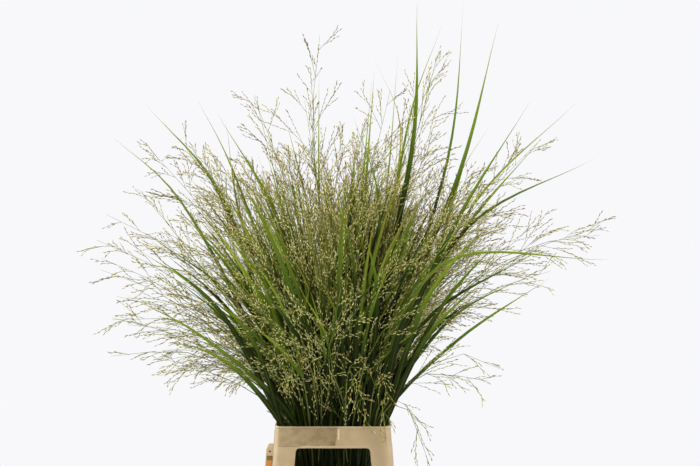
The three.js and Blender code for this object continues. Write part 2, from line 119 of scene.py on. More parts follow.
FURTHER_TILT, TILT_LEFT = (5, 67), 11  # degrees at the bunch's middle and outside, and added to the left
FURTHER_HEADS = (280, 200)  # lengths of the seed heads at the bunch's middle and outside

# bounds between which the blades of the further shoots are drawn, in mm and degrees
BLADE_WIDTHS = (6, 12.5)
BLADE_JOINTS = (70, 330)
BLADE_TURNS = (-55, 55)
BLADE_BENDS = (0.5, 0.7)
BLADE_TILTS = (34, 58)  # the most that one leans

# head, head length, bend of the free part, and blades as (tip, bend, width, joint under the rim, turn);
# tips are x, y and height over the rim
SHOOTS = (
    ((-386, -110, 186), 250, (0.6, 36), [((-354, -170, 228), (0.6, 22), 10, 250, 30)]),
    ((-423, -30, 321), 300, (0.6, 52), [((-264, -55, 366), (0.6, 26), 12, 210, 20)]),
    ((-340, 95, 487), 300, (0.6, 45), [((-409, 60, 512), (0.74, 43), 10, 180, -35)]),
    ((-300, 250, 515), 280, (0.6, 40), [((-362, 180, 581), (0.66, 60), 9, 160, 25),
                                        ((-348, 300, 560), (0.72, 48), 8, 260, -20)]),
    ((-127, -330, 214), 220, (0.55, 36), [((-163, -250, 447), (0.6, 20), 13, 240, -15)]),
    ((-206, -140, 461), 300, (0.6, 30), [((-206, -60, 546), (0.62, 40), 11, 200, 35)]),
    ((-149, 90, 587), 320, (0.65, 28), [((-195, 20, 533), (0.7, -24), 10, 190, 40)]),
    ((-60, 300, 594), 300, (0.6, 20), [((-98, 350, 560), (0.6, 28), 9, 170, -30),
                                       ((-29, 150, 639), (0.6, -6), 10, 250, 45)]),
    ((29, -340, 236), 230, (0.55, 34), [((24, -300, 448), (0.6, 8), 13, 230, 10)]),
    ((98, -180, 577), 310, (0.6, 20), [((148, -60, 743), (0.68, -30), 13, 220, 15),
                                       ((34, -120, 540), (0.7, -54), 9, 130, -30)]),
    ((-26, 50, 696), 340, (0.75, -26), [((75, 110, 639), (0.6, 4), 9, 160, 35),
                                        ((295, -20, 710), (0.62, -28), 13, 260, -10)]),
    ((203, 215, 678), 330, (0.6, 24), [((78, 300, 674), (0.8, -62), 8, 170, 30)]),
    ((264, -190, 82), 170, (0.5, 50), [((465, -230, 289), (0.53, 154), 8, 200, 40),
                                       ((343, -110, 562), (0.6, 22), 11, 280, -20)]),
    ((383, -80, 267), 270, (0.6, 56), [((376, -120, 255), (0.5, 20), 9, 230, 25),
                                       ((465, -30, 466), (0.6, 92), 10, 150, -35)]),
    ((487, 40, 345), 310, (0.6, 72), [((380, 90, 504), (0.6, 32), 12, 210, 10),
                                      ((238, 60, 758), (0.65, -36), 9, 130, 30)]),
    ((394, 250, 510), 300, (0.6, 46), [((463, 200, 584), (0.6, 62), 8, 190, -25),
                                       ((210, 290, 741), (0.75, 28), 9, 250, 20)]),
)

# tones of a few of their blades, by shoot and blade: 0 is the greenest, 1 the yellowest
MAIN_TONES = {(1, 0): 0.7, (3, 0): 0.5, (4, 0): 0.3, (10, 0): 0.25, (11, 1): 0.3, (13, 1): 0.3, (14, 0): 0.7,
              (14, 1): 0.25, (15, 0): 0.4, (15, 1): 0.3}

# further blades of those shoots: the shoot's number, then tip, bend, width, joint, turn and tone
FURTHER_BLADES = (
    (7, (-248, 0, 577), (0.8, 15), 8, 180, 20, 0.5),
    (13, (356, -150, 304), (0.45, 63), 9, 230, -25, 0.15),
    (14, (344, -100, 260), (0.6, 40), 8, 200, 15, 0.5),
    (11, (117, 50, 659), (0.6, -10), 6, 150, 30, 0.6),
    (15, (271, 80, 579), (0.6, -8), 9, 180, -20, 0.6),
    (16, (291, 120, 535), (0.8, 20), 8, 170, 25, 0.7),
    (10, (68, -50, 605), (0.6, 6), 7, 160, -35, 0.5),
    (5, (-147, -200, 310), (0.6, 22), 9, 190, 20, 0.8),
    (9, (-61, -225, 251), (0.55, 20), 9, 150, -15, 0.9),
    (9, (33, -235, 250), (0.6, 6), 16, 220, 0, 0.05),
    (13, (164, -230, 271), (0.6, 16), 15, 170, 10, 0.15),
    (5, (-118, -235, 241), (0.6, 24), 15, 120, -10, 0.15),
    (5, (14, -238, 240), (0.6, 6), 15, 210, 5, 0.2),
    (9, (120, -210, 330), (0.6, 18), 9, 230, 25, 0.6),
    (9, (76, -150, 392), (0.6, 6), 10, 160, 0, 1.0),
)

# blades that pass the rim in its front corners, in the same order of values
CORNER_BLADES = (
    (1, (-262, -160, 150), (0.6, 22), 11, 140, 5, 0.65),
    (1, (-320, -90, 300), (0.6, 34), 10, 90, -10, 0.3),
    (1, (-214, -175, 236), (0.6, 26), 10, 200, 10, 0.4),
    (13, (255, -170, 250), (0.6, 24), 11, 130, 0, 0.45),
    (13, (240, -190, 330), (0.6, 26), 11, 80, 10, 0.6),
    (13, (296, -150, 330), (0.6, 26), 10, 200, -10, 0.3),
)

# seed heads on bare culms: mouth, bend and tip, each as x, y and height over the rim, then head length
# and fullness
BARE_SHOOTS = (
    ((78, -122, 0), (118, -165, 46), (165, -190, -62), 150, 0.4),
    ((30, 60, 0), (125, 60, 410), (189, 60, 658), 260, 0.5),
    ((-20, 20, 0), (-88, 10, 360), (-142, 0, 582), 260, 0.36),
    ((-84, -60, 0), (-275, -75, 175), (-389, -80, 181), 250, 0.5),
    ((84, -20, 0), (300, -10, 290), (480, 0, 330), 280, 0.5),
    ((-80, 10, 0), (-270, 15, 285), (-414, 20, 368), 280, 0.45),
    ((-82, 40, 0), (-280, 60, 215), (-430, 80, 287), 270, 0.45),
    ((-82, -30, 0), (-270, -35, 205), (-414, -40, 268), 270, 0.4),
    ((-80, -80, 0), (-210, -70, 85), (-307, -60, 112), 220, 0.4),
    ((-78, 100, 0), (-300, 170, 330), (-380, 220, 420), 280, 0.45),
    ((20, -125, 0), (28, -180, 105), (44, -228, 34), 130, 0.5),
    ((-40, -125, 0), (-62, -185, 115), (-84, -240, 66), 140, 0.5),
    ((62, -125, 0), (78, -180, 90), (98, -226, 52), 120, 0.45),
    ((72, -124, 0), (84, -176, 46), (90, -196, -16), 105, 0.4),
    ((34, -126, 0), (48, -180, 50), (60, -204, 2), 100, 0.4),
    ((84, -64, 0), (206, -92, 122), (292, -100, 96), 210, 0.36),
)


def share(n):
    """A share from 0 to 1 that is always the same for the same number."""
    wave = math.sin(n * 12.9898) * 43758.5453
    return wave - math.floor(wave)


def unit(v):
    v = np.asarray(v, float)
    return v / np.linalg.norm(v, axis=-1, keepdims=True)


def mix(a, b, t):
    return a + (b - a) * t


def ease(t, low=0.0, high=1.0):
    t = np.clip((np.asarray(t, float) - low) / (high - low), 0, 1)
    return t * t * (3 - 2 * t)


class Line:
    """A smooth line through a few points, walked by share of its length."""

    STEPS = 200
    NEAR = 0.004  # how far to each side of a place its direction is taken

    def __init__(self, points):
        given = np.array(points, float)
        ends = 2 * given[0] - given[1], 2 * given[-1] - given[-2]
        through = np.vstack([ends[0], given, ends[1]])
        place = np.linspace(0, len(given) - 1, self.STEPS + 1)
        cell = np.minimum(place.astype(int), len(given) - 2)
        w = (place - cell)[:, None]
        a, b, c, d = (through[cell + k] for k in range(4))
        ab, bc, cd = (np.sqrt(np.linalg.norm(q - p, axis=1))[:, None]
                      for p, q in ((a, b), (b, c), (c, d)))
        start = ((b - a) / ab - (c - a) / (ab + bc) + (c - b) / bc) * bc
        end = ((c - b) / bc - (d - b) / (bc + cd) + (d - c) / cd) * bc
        cubic = 2 * b - 2 * c + start + end
        square = 3 * c - 3 * b - 2 * start - end
        self.points = b + start * w + square * w ** 2 + cubic * w ** 3
        walked = np.linalg.norm(np.diff(self.points, axis=0), axis=1)
        self.walked = np.concatenate([[0], np.cumsum(walked)])
        self.length = self.walked[-1]

    def at(self, t):
        where = np.asarray(t, float) * self.length
        return np.stack([np.interp(where, self.walked, self.points[:, k]) for k in range(3)], -1)

    def along(self, t):
        t = np.asarray(t, float)
        return unit(self.at(np.minimum(t + self.NEAR, 1)) - self.at(np.maximum(t - self.NEAR, 0)))

    def share_at(self, z):
        """How far along a rising line passes a height."""
        low, high = 0.0, 1.0
        for _ in range(20):
            middle = (low + high) / 2
            low, high = (middle, high) if self.at(middle)[2] < z else (low, middle)
        return low


def sides_of(along):
    """Two directions square to a line: level, and the one over it."""
    aside = unit(np.cross([0.0, 1.0, 0.0], along))
    return aside, np.cross(along, aside)


def bowed(start, tip, bend):
    """Where a free part bends: a share of its way along, and off the straight way, up and inwards."""
    along, off = bend
    chord = tip - start
    flat = math.hypot(chord[0], chord[2])
    side = 1 if chord[0] < 0 else -1
    place = mix(start, tip, along)
    place[0] += side * off * chord[2] / flat
    place[2] -= side * off * chord[0] / flat
    place[1] -= BACKWARD_BOW * chord[1]
    return place


def over_rim(place):
    return np.array([place[0], place[1], RIM + place[2]], float)


def foot_under(mouth):
    """Where a culm that passes the rim at a mouth stands on the bucket's floor."""
    return np.array([mouth[0] * FOOT_SHARE, mouth[1] * FOOT_SHARE, BUCKET_FLOOR + SEAT_GAP])


def shoot_line(head, bend, mouth):
    """A shoot's culm and seed head on one line: foot, mouth, bend, tip."""
    rim, tip = over_rim((*mouth, 0)), over_rim(head)
    return Line([foot_under(mouth), rim, bowed(rim, tip, bend), tip])


def culm_radius(line, z):
    return mix(*CULM_RADII, np.clip(z / line.points[-1][2], 0, 1))


def leaving_way(tip, head, first_tip, mouth, order):
    """The way a blade moves off its culm: to the side it leans to, and a second one to the other row."""
    def lean(place):
        return (place[0] - mouth[0]) / place[2], (place[1] - mouth[1]) / place[2]

    culm = lean(head)
    row = (-1 if order else 1) * np.sign(lean(first_tip)[1] - culm[1])
    return np.array([np.sign(lean(tip)[0] - culm[0]) * LANE[0], row * LANE[1], 0.0])


def blade_line(line, tip, bend, joint, away):
    """A blade's line: it leaves the culm's side at its joint, passes the rim beside it, and goes its way."""
    reach = np.linalg.norm(away)
    touch = culm_radius(line, RIM - joint) + SEAT_GAP + BLADE_THICK / 2

    def beside(down, off):
        return line.at(line.share_at(RIM - down)) + away * (off / reach)

    lane, tip = beside(0, reach), over_rim(tip)
    return Line([beside(joint, touch), beside(joint * 0.9, touch + PEEL), beside(joint * 0.5, reach * 0.6),
                 lane, bowed(lane, tip, bend), tip])


def collar_half(z):
    """The collar's half sizes, outside, at heights."""
    return COLLAR_HALF + COLLAR_FLARE * (RIM - np.asarray(z, float)[..., None]) / (RIM - COLLAR_FOOT)


def clear_of_collar(points):
    """False where a point is in the collar's wall or in its card holder."""
    def within(values, zone):
        return (values > zone[0]) & (values < zone[1])

    p = np.asarray(points, float)
    beyond = (np.abs(p[..., :2]) - collar_half(p[..., 2])).max(-1)
    wall = within(beyond, WALL_ZONE) & (p[..., 2] < CLEAR_ABOVE)
    holder = np.all([within(p[..., k], HOLDER_ZONE[k]) for k in range(3)], axis=0)
    return ~(wall | holder)


# ---------------------------------------------------------------- small shapes, modelled once


def rest():
    """Leaves edit mode and deselects everything."""
    if bpy.context.object and bpy.context.object.mode != "OBJECT":
        bpy.ops.object.mode_set(mode="OBJECT")
    bpy.ops.object.select_all(action="DESELECT")


def choose(piece):
    """Selects one object alone and makes it the active one."""
    rest()
    bpy.context.view_layer.objects.active = piece
    piece.select_set(True)


def applied(piece):
    """Puts an object's place, turn and size into its mesh."""
    choose(piece)
    bpy.ops.object.transform_apply(location=True, rotation=True, scale=True)
    return piece


def editing():
    bpy.ops.object.mode_set(mode="EDIT")
    bpy.ops.mesh.select_mode(type="VERT")


def started(add, **measures):
    """Adds a primitive at the origin and goes into edit mode with all of it selected."""
    rest()
    add(location=(0, 0, 0), **measures)
    editing()
    bpy.ops.mesh.select_all(action="SELECT")


def pick(kind, test):
    """Selects, in edit mode, the vertices, edges or faces that pass a test."""
    mesh = bpy.context.object.data
    form = bmesh.from_edit_mesh(mesh)
    for group in (form.verts, form.edges, form.faces):
        for one in group:
            one.select = False
    for one in getattr(form, kind):
        if test(one):
            one.select_set(True)
    bmesh.update_edit_mesh(mesh)


def finished(name):
    """Names the active object, turns its faces outwards and puts its place in its mesh."""
    editing()
    bpy.ops.mesh.select_all(action="SELECT")
    bpy.ops.mesh.remove_doubles(threshold=1e-6)
    bpy.ops.mesh.normals_make_consistent(inside=False)
    piece = applied(bpy.context.object)
    piece.name = piece.data.name = name
    return piece


class Shape:
    """A small shape taken from a modelled object, whose copies are laid along lines."""

    SEAM_ROOM = 1 / 8  # a map's share past a whole turn, for the faces that cross its seam
    END_SLANT = 0.002  # gives level ends a little height in a map

    def __init__(self, piece):
        mesh = piece.data
        self.points = np.array([v.co for v in mesh.vertices])
        self.corners = np.array([c.vertex_index for c in mesh.loops])
        self.starts = np.array([f.loop_start for f in mesh.polygons])
        bpy.data.objects.remove(piece)
        bpy.data.meshes.remove(mesh)
        self.turns = self._turns()

    def _turns(self):
        """For each face corner, its share of the way round the shape, with no face across the seam."""
        x, y = self.points[self.corners, 0], self.points[self.corners, 1]
        turns = np.arctan2(y, x) / (2 * math.pi) % 1
        for face in np.split(np.arange(len(self.corners)), self.starts[1:]):
            part = turns[face]
            if part.max() - part.min() > 0.5:
                turns[face] = np.where(part < 0.5, part + 1, part)
        return turns / (1 + self.SEAM_ROOM)

    def map(self, left, right, low, high):
        """A map of a tube: its sides between left and right, its length between low and high."""
        along = self.points[self.corners, 2] + self.END_SLANT * self.points[self.corners, 0]
        return np.stack([mix(left, right, self.turns), mix(low, high, along)], -1)


def drawn_tube(sides, steps, pointed=()):
    """A closed tube drawn upwards from a disc; steps are heights and radii, pointed names ends to merge."""
    started(bpy.ops.mesh.primitive_circle_add, vertices=sides, radius=1, fill_type="NGON")
    height, radius = steps[0]
    bpy.ops.transform.translate(value=(0, 0, height))
    bpy.ops.transform.resize(value=(radius, radius, 1), center_override=(0, 0, height))
    for z, r in steps[1:]:
        bpy.ops.mesh.extrude_region_move(TRANSFORM_OT_translate={"value": (0, 0, z - height)})
        bpy.ops.transform.resize(value=(r / radius, r / radius, 1), center_override=(0, 0, z))
        height, radius = z, r
    for end in pointed:
        z = steps[end][0]
        pick("verts", lambda v: abs(v.co.z - z) < 1e-5)
        bpy.ops.mesh.merge(type="CENTER")
    return Shape(finished("tube"))


def blade_strip(settings, steps, columns):
    """A blade, one unit to each side and one unit long: a shallow V. A column is moved out or in to its
    place and lifted over the column before it."""
    started(bpy.ops.mesh.primitive_grid_add, x_subdivisions=2 * len(columns), y_subdivisions=steps, size=2)
    for k, (to, _) in enumerate(columns):
        out = (k + 1) / len(columns)
        pick("verts", lambda v: abs(abs(v.co.x) - out) < 0.01)
        bpy.ops.transform.resize(value=(to / out, 1, 1), center_override=(0, 0, 0))
    for to, rise in columns:
        pick("verts", lambda v: abs(v.co.x) > to - 0.01)
        bpy.ops.transform.translate(value=(0, 0, rise * settings.fold))
    bpy.ops.mesh.select_all(action="SELECT")
    bpy.ops.transform.translate(value=(0, 1, 0))
    bpy.ops.transform.resize(value=(1, 0.5, 1), center_override=(0, 0, 0))
    rest()
    strip = bpy.context.object
    skin = strip.modifiers.new("skin", "SOLIDIFY")
    skin.thickness = settings.thickness / (BLADE_HALF * MM)
    skin.offset = 0
    bpy.ops.object.modifier_apply(modifier="skin")
    return Shape(finished("strip"))


# a culm's rings over each joint: heights by the culm's length, and radii by its own; the foot has no joint
JOINT_RISES = (0, 0.004, 0.009, 0.05, SHEATH - 0.002, SHEATH + 0.001)
JOINT_RADII = (1.0, 1.42, 1.3, 1.22, 1.16, 1.0)
FOOT_RADII = (0.95, 1.0, 1.0, 1.22, 1.16, 1.0)


def culm_tube():
    """A culm of internodes, each a joint, a sheath that wraps it, and a bare length."""
    steps = [(k / INTERNODES + rise, radius) for k in range(INTERNODES)
             for rise, radius in zip(JOINT_RISES, JOINT_RADII if k else FOOT_RADII)]
    return drawn_tube(6, [*steps, (1.0, 0.8)])


class Pile:
    """Copies of small shapes, gathered into one mesh."""

    def __init__(self):
        self.points, self.corners, self.starts, self.maps, self.tones = [], [], [], [], []
        self.point_count = self.corner_count = 0

    def add(self, shape, points, maps, tone=0.0):
        """points is (copies, points, 3); maps has a name and (copies, corners, 2) for each UV map."""
        points = np.asarray(points, float).reshape(-1, len(shape.points), 3)
        copies = len(points)
        if not copies:
            return
        steps = np.arange(copies)[:, None]
        self.points.append(points.reshape(-1, 3))
        self.corners.append((shape.corners + steps * len(shape.points) + self.point_count).ravel())
        self.starts.append((shape.starts + steps * len(shape.corners) + self.corner_count).ravel())
        self.maps.append({name: np.broadcast_to(uv, (copies, len(shape.corners), 2)).reshape(-1, 2)
                          for name, uv in maps.items()})
        self.tones.append(np.full(copies * len(shape.points), tone))
        self.point_count += copies * len(shape.points)
        self.corner_count += copies * len(shape.corners)

    def piece(self, name, finish, slot):
        points, corners, starts = (np.concatenate(part) for part in (self.points, self.corners, self.starts))
        mesh = bpy.data.meshes.new(name)
        mesh.vertices.add(len(points))
        mesh.vertices.foreach_set("co", (points * MM).astype(np.float32).ravel())
        mesh.loops.add(len(corners))
        mesh.loops.foreach_set("vertex_index", corners.astype(np.int32))
        mesh.polygons.add(len(starts))
        mesh.polygons.foreach_set("loop_start", starts.astype(np.int32))
        mesh.polygons.foreach_set("use_smooth", np.ones(len(starts), bool))
        for map_name in self.maps[0]:
            uv = np.concatenate([part[map_name] for part in self.maps]).astype(np.float32)
            mesh.uv_layers.new(name=map_name).data.foreach_set("uv", uv.ravel())
        tone = mesh.attributes.new("tone", "FLOAT", "POINT")
        tone.data.foreach_set("value", np.concatenate(self.tones).astype(np.float32))
        mesh.update(calc_edges=True)
        mesh.validate()
        mesh.materials.append(finish)
        made = bpy.data.objects.new(name, mesh)
        bpy.context.scene.collection.objects.link(made)
        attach(made, "root")
        return made


# ---------------------------------------------------------------- finishes


class Signal:
    """An output of a finish's node that takes part in sums."""

    def __init__(self, finish, socket):
        self.finish, self.socket = finish, socket

    def _sum(self, operation, *terms):
        return self.finish.node("ShaderNodeMath", {"operation": operation}, dict(enumerate(terms)))

    def __add__(self, other):
        return self._sum("ADD", self, other)

    def __sub__(self, other):
        return self._sum("SUBTRACT", self, other)

    def __rsub__(self, other):
        return self._sum("SUBTRACT", other, self)

    def __mul__(self, other):
        return self._sum("MULTIPLY", self, other)

    def sine(self):
        return self._sum("SINE", self)

    def fraction(self):
        return self._sum("FRACT", self)

    __radd__ = __add__
    __rmul__ = __mul__

    def between(self, low, high):
        """Rises smoothly from 0 to 1 as the signal goes from low to high."""
        return self.finish.node("ShaderNodeMapRange", {"interpolation_type": "SMOOTHSTEP"},
                                {0: self, 1: low, 2: high})

    def band(self, rise, fall):
        """Rises from 0 to 1 over one stretch and falls back to 0 over another."""
        return self.between(*rise) * (1 - self.between(*fall))


class Nodes:
    """The nodes of a material or of the world."""

    def __init__(self, tree):
        self.tree = tree

    def plug(self, socket, value):
        if isinstance(value, Signal):
            self.tree.links.new(value.socket, socket)
        else:
            socket.default_value = value

    def node(self, kind, settings=None, inputs=None, output=0):
        made = self.tree.nodes.new(kind)
        for name, value in (settings or {}).items():
            if name == "stops":
                self._set_stops(made.color_ramp, value)
            else:
                setattr(made, name, value)
        for name, value in (inputs or {}).items():
            self.plug(made.inputs[name], value)
        return Signal(self, made.outputs[output])

    @staticmethod
    def _set_stops(ramp, stops):
        while len(ramp.elements) < len(stops):
            ramp.elements.new(0.5)
        for element, (place, colour) in zip(ramp.elements, stops):
            element.position = place
            element.color = (*colour[:3], 1)

    def place(self):
        return self.node("ShaderNodeTexCoord", output="Object")

    def map_of(self, name):
        return self.node("ShaderNodeUVMap", {"uv_map": name})

    def parts(self, vector):
        made = self.node("ShaderNodeSeparateXYZ", None, {0: vector}).socket.node
        return [Signal(self, made.outputs[k]) for k in range(3)]

    def noise(self, vector, scale, detail=3.0, roughness=0.5):
        """Noise of one scale, or of three: one for each way."""
        if isinstance(scale, tuple):
            vector, scale = self.node("ShaderNodeMapping", None, {"Vector": vector, "Scale": scale}), 1
        return self.node("ShaderNodeTexNoise", None, {"Vector": vector, "Scale": scale, "Detail": detail,
                                                      "Roughness": roughness})

    def ramp(self, value, *stops):
        return self.node("ShaderNodeValToRGB", {"stops": stops}, {0: value})

    def blend(self, factor, a, b):
        return self.node("ShaderNodeMix", {"data_type": "RGBA"}, {0: factor, 6: a, 7: b}, output=2)

    def layers(self, colour, *layers):
        """A colour with others laid over it in order, each by its own mask."""
        for mask, over in layers:
            colour = self.blend(mask, colour, over)
        return colour


class Finish(Nodes):
    """A material."""

    def __init__(self, name, **surface):
        self.material = bpy.data.materials.new(name)
        self.material.use_nodes = True
        super().__init__(self.material.node_tree)
        self.surface = self.tree.nodes["Principled BSDF"]
        for socket, value in surface.items():
            self.surface.inputs[socket.replace("_", " ")].default_value = value

    def colour(self, value):
        self.plug(self.surface.inputs["Base Color"], value)

    def roughness(self, value):
        self.plug(self.surface.inputs["Roughness"], value)

    def bump(self, height, distance, strength):
        sockets = {"Height": height, "Distance": distance, "Strength": strength}
        self.plug(self.surface.inputs["Normal"], self.node("ShaderNodeBump", None, sockets))


def paint(red, green, blue):
    """A colour given as it looks, from 0 to 255, in the linear numbers that shaders take."""
    linear = [c / 255 / 12.92 if c <= 10 else ((c / 255 + 0.055) / 1.055) ** 2.4 for c in (red, green, blue)]
    return (*linear, 1.0)


# marks on the collar, in metres: where each begins and is full, or where it begins to end and is gone
COLLAR_FRONT = (-0.135, -0.128)
STAIN_LEFT, STAIN_RIGHT, STAIN_FOOT = (-0.097, -0.092), (0.0045, 0.0075), (0.4452, 0.4475)
STAIN_EDGE, STAIN_DEEPENS = (-0.012, 0.004), (-0.075, -0.01)
STAIN_MIDDLE, STAIN_LEAN = 0.463, 0.14  # the height that its right edge leans about, and how much
# where the painted shade line along a crease lies: across, then up
CREASE_SHADE_ACROSS, CREASE_SHADE_UP = ((-0.096, -0.092), (-0.062, -0.05)), ((0.4448, 0.4455), (0.4458, 0.4466))
# where the painted highlight on the moulded rib lies: across, then up
RIB_HIGHLIGHT_ACROSS, RIB_HIGHLIGHT_UP = ((0.0074, 0.0086), (0.0104, 0.0116)), ((0.4545, 0.4560), (0.4745, 0.4760))


def collar_finish(settings):
    """Beige moulded plastic: yellowed unevenly, the stain of an old label in front, scuffs and specks, a
    painted shade line along a crease and a painted highlight on the rib.
    """
    f = Finish("worn beige plastic", Specular_IOR_Level=0.45)
    place = f.place()
    x, y, z = f.parts(place)
    front = 1 - y.between(*COLLAR_FRONT)
    ragged = f.noise(place, 260) * 0.004 - 0.002
    slant = x + ragged - (z - STAIN_MIDDLE) * STAIN_LEAN
    stained = ((x + ragged).between(*STAIN_LEFT) * (1 - slant.between(*STAIN_RIGHT))
               * (z + ragged).between(*STAIN_FOOT) * front)
    # painted shade: a dark line along a crease in the front wall
    crease_shade = x.band(*CREASE_SHADE_ACROSS) * z.band(*CREASE_SHADE_UP) * front
    # painted highlight along the moulded rib and its knob
    rib = x.band(*RIB_HIGHLIGHT_ACROSS) * z.band(*RIB_HIGHLIGHT_UP) * front
    foot = 1 - z.between(0.225, 0.30)
    lip = z.between(0.4772, 0.4796)
    cloud = f.noise(place, 18, 4)
    grime = f.noise(place, (46, 46, 28), 5, 0.65).between(0.45, 0.78)
    patchy = f.noise(place, (60, 60, 110), 4, 0.6).between(0.42, 0.66)
    specks = f.noise(place, 420, 2).between(0.70, 0.76)
    scratch = f.noise(place, (30, 30, 900), 2, 0.4).between(0.66, 0.74)
    f.colour(f.layers(
        f.blend(cloud.between(0.3, 0.7), settings.collar_colour, settings.collar_yellowed),
        (stained * (0.3 + patchy * 0.28 + x.between(*STAIN_DEEPENS) * 0.3), paint(146, 122, 80)),
        (slant.between(*STAIN_EDGE) * stained * (0.15 + patchy * 0.45), paint(104, 84, 50)),
        # painted shade along the crease
        (crease_shade * 0.6, paint(96, 78, 54)),
        (grime * 0.35 * settings.grime, paint(112, 92, 62)),
        (foot * grime * 0.4, paint(98, 86, 66)),
        (scratch * 0.22, paint(206, 186, 150)),
        (specks * (0.25 + stained * 0.6), paint(222, 202, 160)),
        (lip * 0.3, paint(226, 208, 176)),
        # painted highlight on the rib
        (rib * 0.8, paint(236, 220, 190))))
    f.roughness(0.36 + grime * 0.2 + cloud * 0.12)
    f.bump(f.noise(place, 900, 2) * 0.5 + scratch * 0.5 + stained * 0.6, 0.00025, 0.35)
    return f.material


def holder_finish():
    """The holder's paler, slightly waxy plastic."""
    f = Finish("pale holder plastic", Specular_IOR_Level=0.5)
    place = f.place()
    cloud = f.noise(place, 60, 4)
    scuff = f.noise(place, (80, 80, 500)).between(0.6, 0.72)
    f.colour(f.layers(
        paint(214, 190, 150),
        (cloud, paint(190, 162, 118)),
        (scuff * 0.35, paint(232, 214, 180))))
    f.roughness(0.34 + cloud * 0.2)
    f.bump(f.noise(place, 700, 2), 0.0002, 0.3)
    return f.material


def card_finish():
    """Bare coloured card: a khaki band over orange, with a fibrous face and darker blotches."""
    f = Finish("coloured card", Specular_IOR_Level=0.2)
    place = f.place()
    z = f.parts(place)[2]
    fibre = f.noise(place, (700, 700, 240), 4, 0.7)
    f.colour(f.layers(
        paint(206, 138, 66),
        ((z + fibre * 0.002).between(0.4165, 0.4185), paint(122, 108, 66)),
        (fibre.between(0.5, 0.8) * 0.3, paint(232, 186, 120)),
        (f.noise(place, 40).between(0.5, 0.8) * 0.3, paint(150, 92, 44))))
    f.roughness(0.72 + fibre * 0.2)
    f.bump(fibre, 0.0003, 0.5)
    return f.material


def bucket_finish(settings):
    """Dark recycled plastic with scuffs from stacking, dust at its foot and dried water marks."""
    f = Finish("dark bucket plastic", Specular_IOR_Level=0.5)
    place = f.place()
    z = f.parts(place)[2]
    cloud = f.noise(place, 22, 4)
    drops = f.node("ShaderNodeTexVoronoi", {"feature": "SMOOTH_F1"}, {"Vector": place, "Scale": 70})
    marks = (1 - drops.between(0.16, 0.30)) * f.noise(place, 30, 2).between(0.5, 0.62)
    scuff = f.noise(place, (26, 26, 520)).between(0.60, 0.72)
    rubbed = z.band((0.198, 0.209), (0.213, 0.216)) + z.between(0.2325, 0.2355)
    foot = 1 - z.between(0.004, 0.05)
    f.colour(f.layers(
        settings.bucket_colour,
        (cloud, paint(52, 58, 58)),
        (scuff * 0.3, paint(108, 112, 110)),
        (rubbed * cloud * 0.6, paint(126, 128, 124)),
        (foot * f.noise(place, 90, 4) * 0.7, paint(104, 98, 86)),
        (marks * 0.35, paint(120, 124, 122))))
    f.roughness(0.42 + cloud * 0.2 + marks * 0.2)
    f.bump(f.noise(place, 800, 2) * 0.5 + scuff * 0.4, 0.0003, 0.4)
    return f.material


def blade_finish(settings):
    """A grass blade: dark green at its foot, partly its own colour and partly painted shade low in the bunch,
    yellower upwards, pale at its midrib and dry at its tip.
    """
    f = Finish("switchgrass blade", Specular_IOR_Level=0.07)
    own, place = f.map_of("Blade"), f.place()
    u, v, _ = f.parts(own)
    x, y, z = f.parts(place)
    tone = f.node("ShaderNodeAttribute", {"attribute_name": "tone"}, output="Fac")
    # the height mixes a blade's own length with its height in the scene, so blades darken low in the bunch
    # and inside the collar: partly their own colour, partly painted shade
    height = v * 0.72 + z * 0.36 - 0.13 + (f.noise(place, 9, 2) - 0.5) * 0.2 + (tone - 0.5) * 0.46
    veins = (u * 75.0).sine() * 0.5 + 0.5
    fine = f.noise(own, (60, 3, 1))
    rib = u.band((0.445, 0.492), (0.508, 0.555)) * (1 - v.between(0.55, 0.9))
    blotch = f.noise(own, (4, 18, 1), 4, 0.6).between(0.62, 0.78)
    dry = (v + fine * 0.05).between(0.955, 1.0)
    shaded = (1 - (x * x + y * y).between(0.003, 0.036)) * (1 - z.between(0.74, 0.98))
    f.colour(f.layers(
        f.ramp(height, (0.0, settings.sheath_colour), (0.26, settings.low_colour),
               (0.5, settings.middle_colour), (0.68, settings.upper_colour),
               (0.89, settings.high_colour), (1.0, settings.tip_colour)),
        (veins * fine * 0.26, paint(116, 132, 38)),
        (rib * 0.36, paint(132, 148, 62)),
        (blotch * tone * 0.5, paint(152, 116, 60)),
        (dry * 0.8, paint(186, 164, 112)),
        (shaded * 0.6, paint(18, 28, 10))))
    f.roughness(0.44 + fine * 0.22)
    f.bump(veins * 0.6 + rib * 1.2, 0.00022, 0.6)
    return f.material


def culm_finish(settings):
    """A jointed stem: dark low down, partly its own colour and partly painted shade in and just over the
    collar, yellower upwards, its sheaths striped and its joints brown.
    """
    f = Finish("switchgrass culm", Specular_IOR_Level=0.12)
    own, place = f.map_of("Stem"), f.place()
    v, z = f.parts(own)[1], f.parts(place)[2]
    step = (v * INTERNODES).fraction()
    joint, sheath = 1 - step.between(0.03, 0.09), 1 - step.between(0.66, 0.70)
    stripes = f.noise(own, (40, 2, 1))
    f.colour(f.layers(
        # the dark lower half of the culm is partly painted shade
        f.ramp(v, (0.0, paint(34, 40, 20)), (0.48, paint(32, 44, 18)), (0.78, settings.culm_colour),
               (1.0, paint(146, 150, 58))),
        (sheath * stripes * v.between(0.36, 0.62) * 0.5, paint(146, 164, 104)),
        (joint * 0.75, paint(96, 66, 44)),
        # painted shade: culms darkened below about 0.46 m, fading out by 0.64 m, in and just over the collar
        ((1 - z.between(0.46, 0.64)) * 0.72, paint(30, 42, 20)),
        (f.noise(place, 120).between(0.62, 0.74) * 0.4, paint(128, 104, 60))))
    f.roughness(0.4 + stripes * 0.2)
    f.bump(stripes, 0.0003, 0.5)
    return f.material


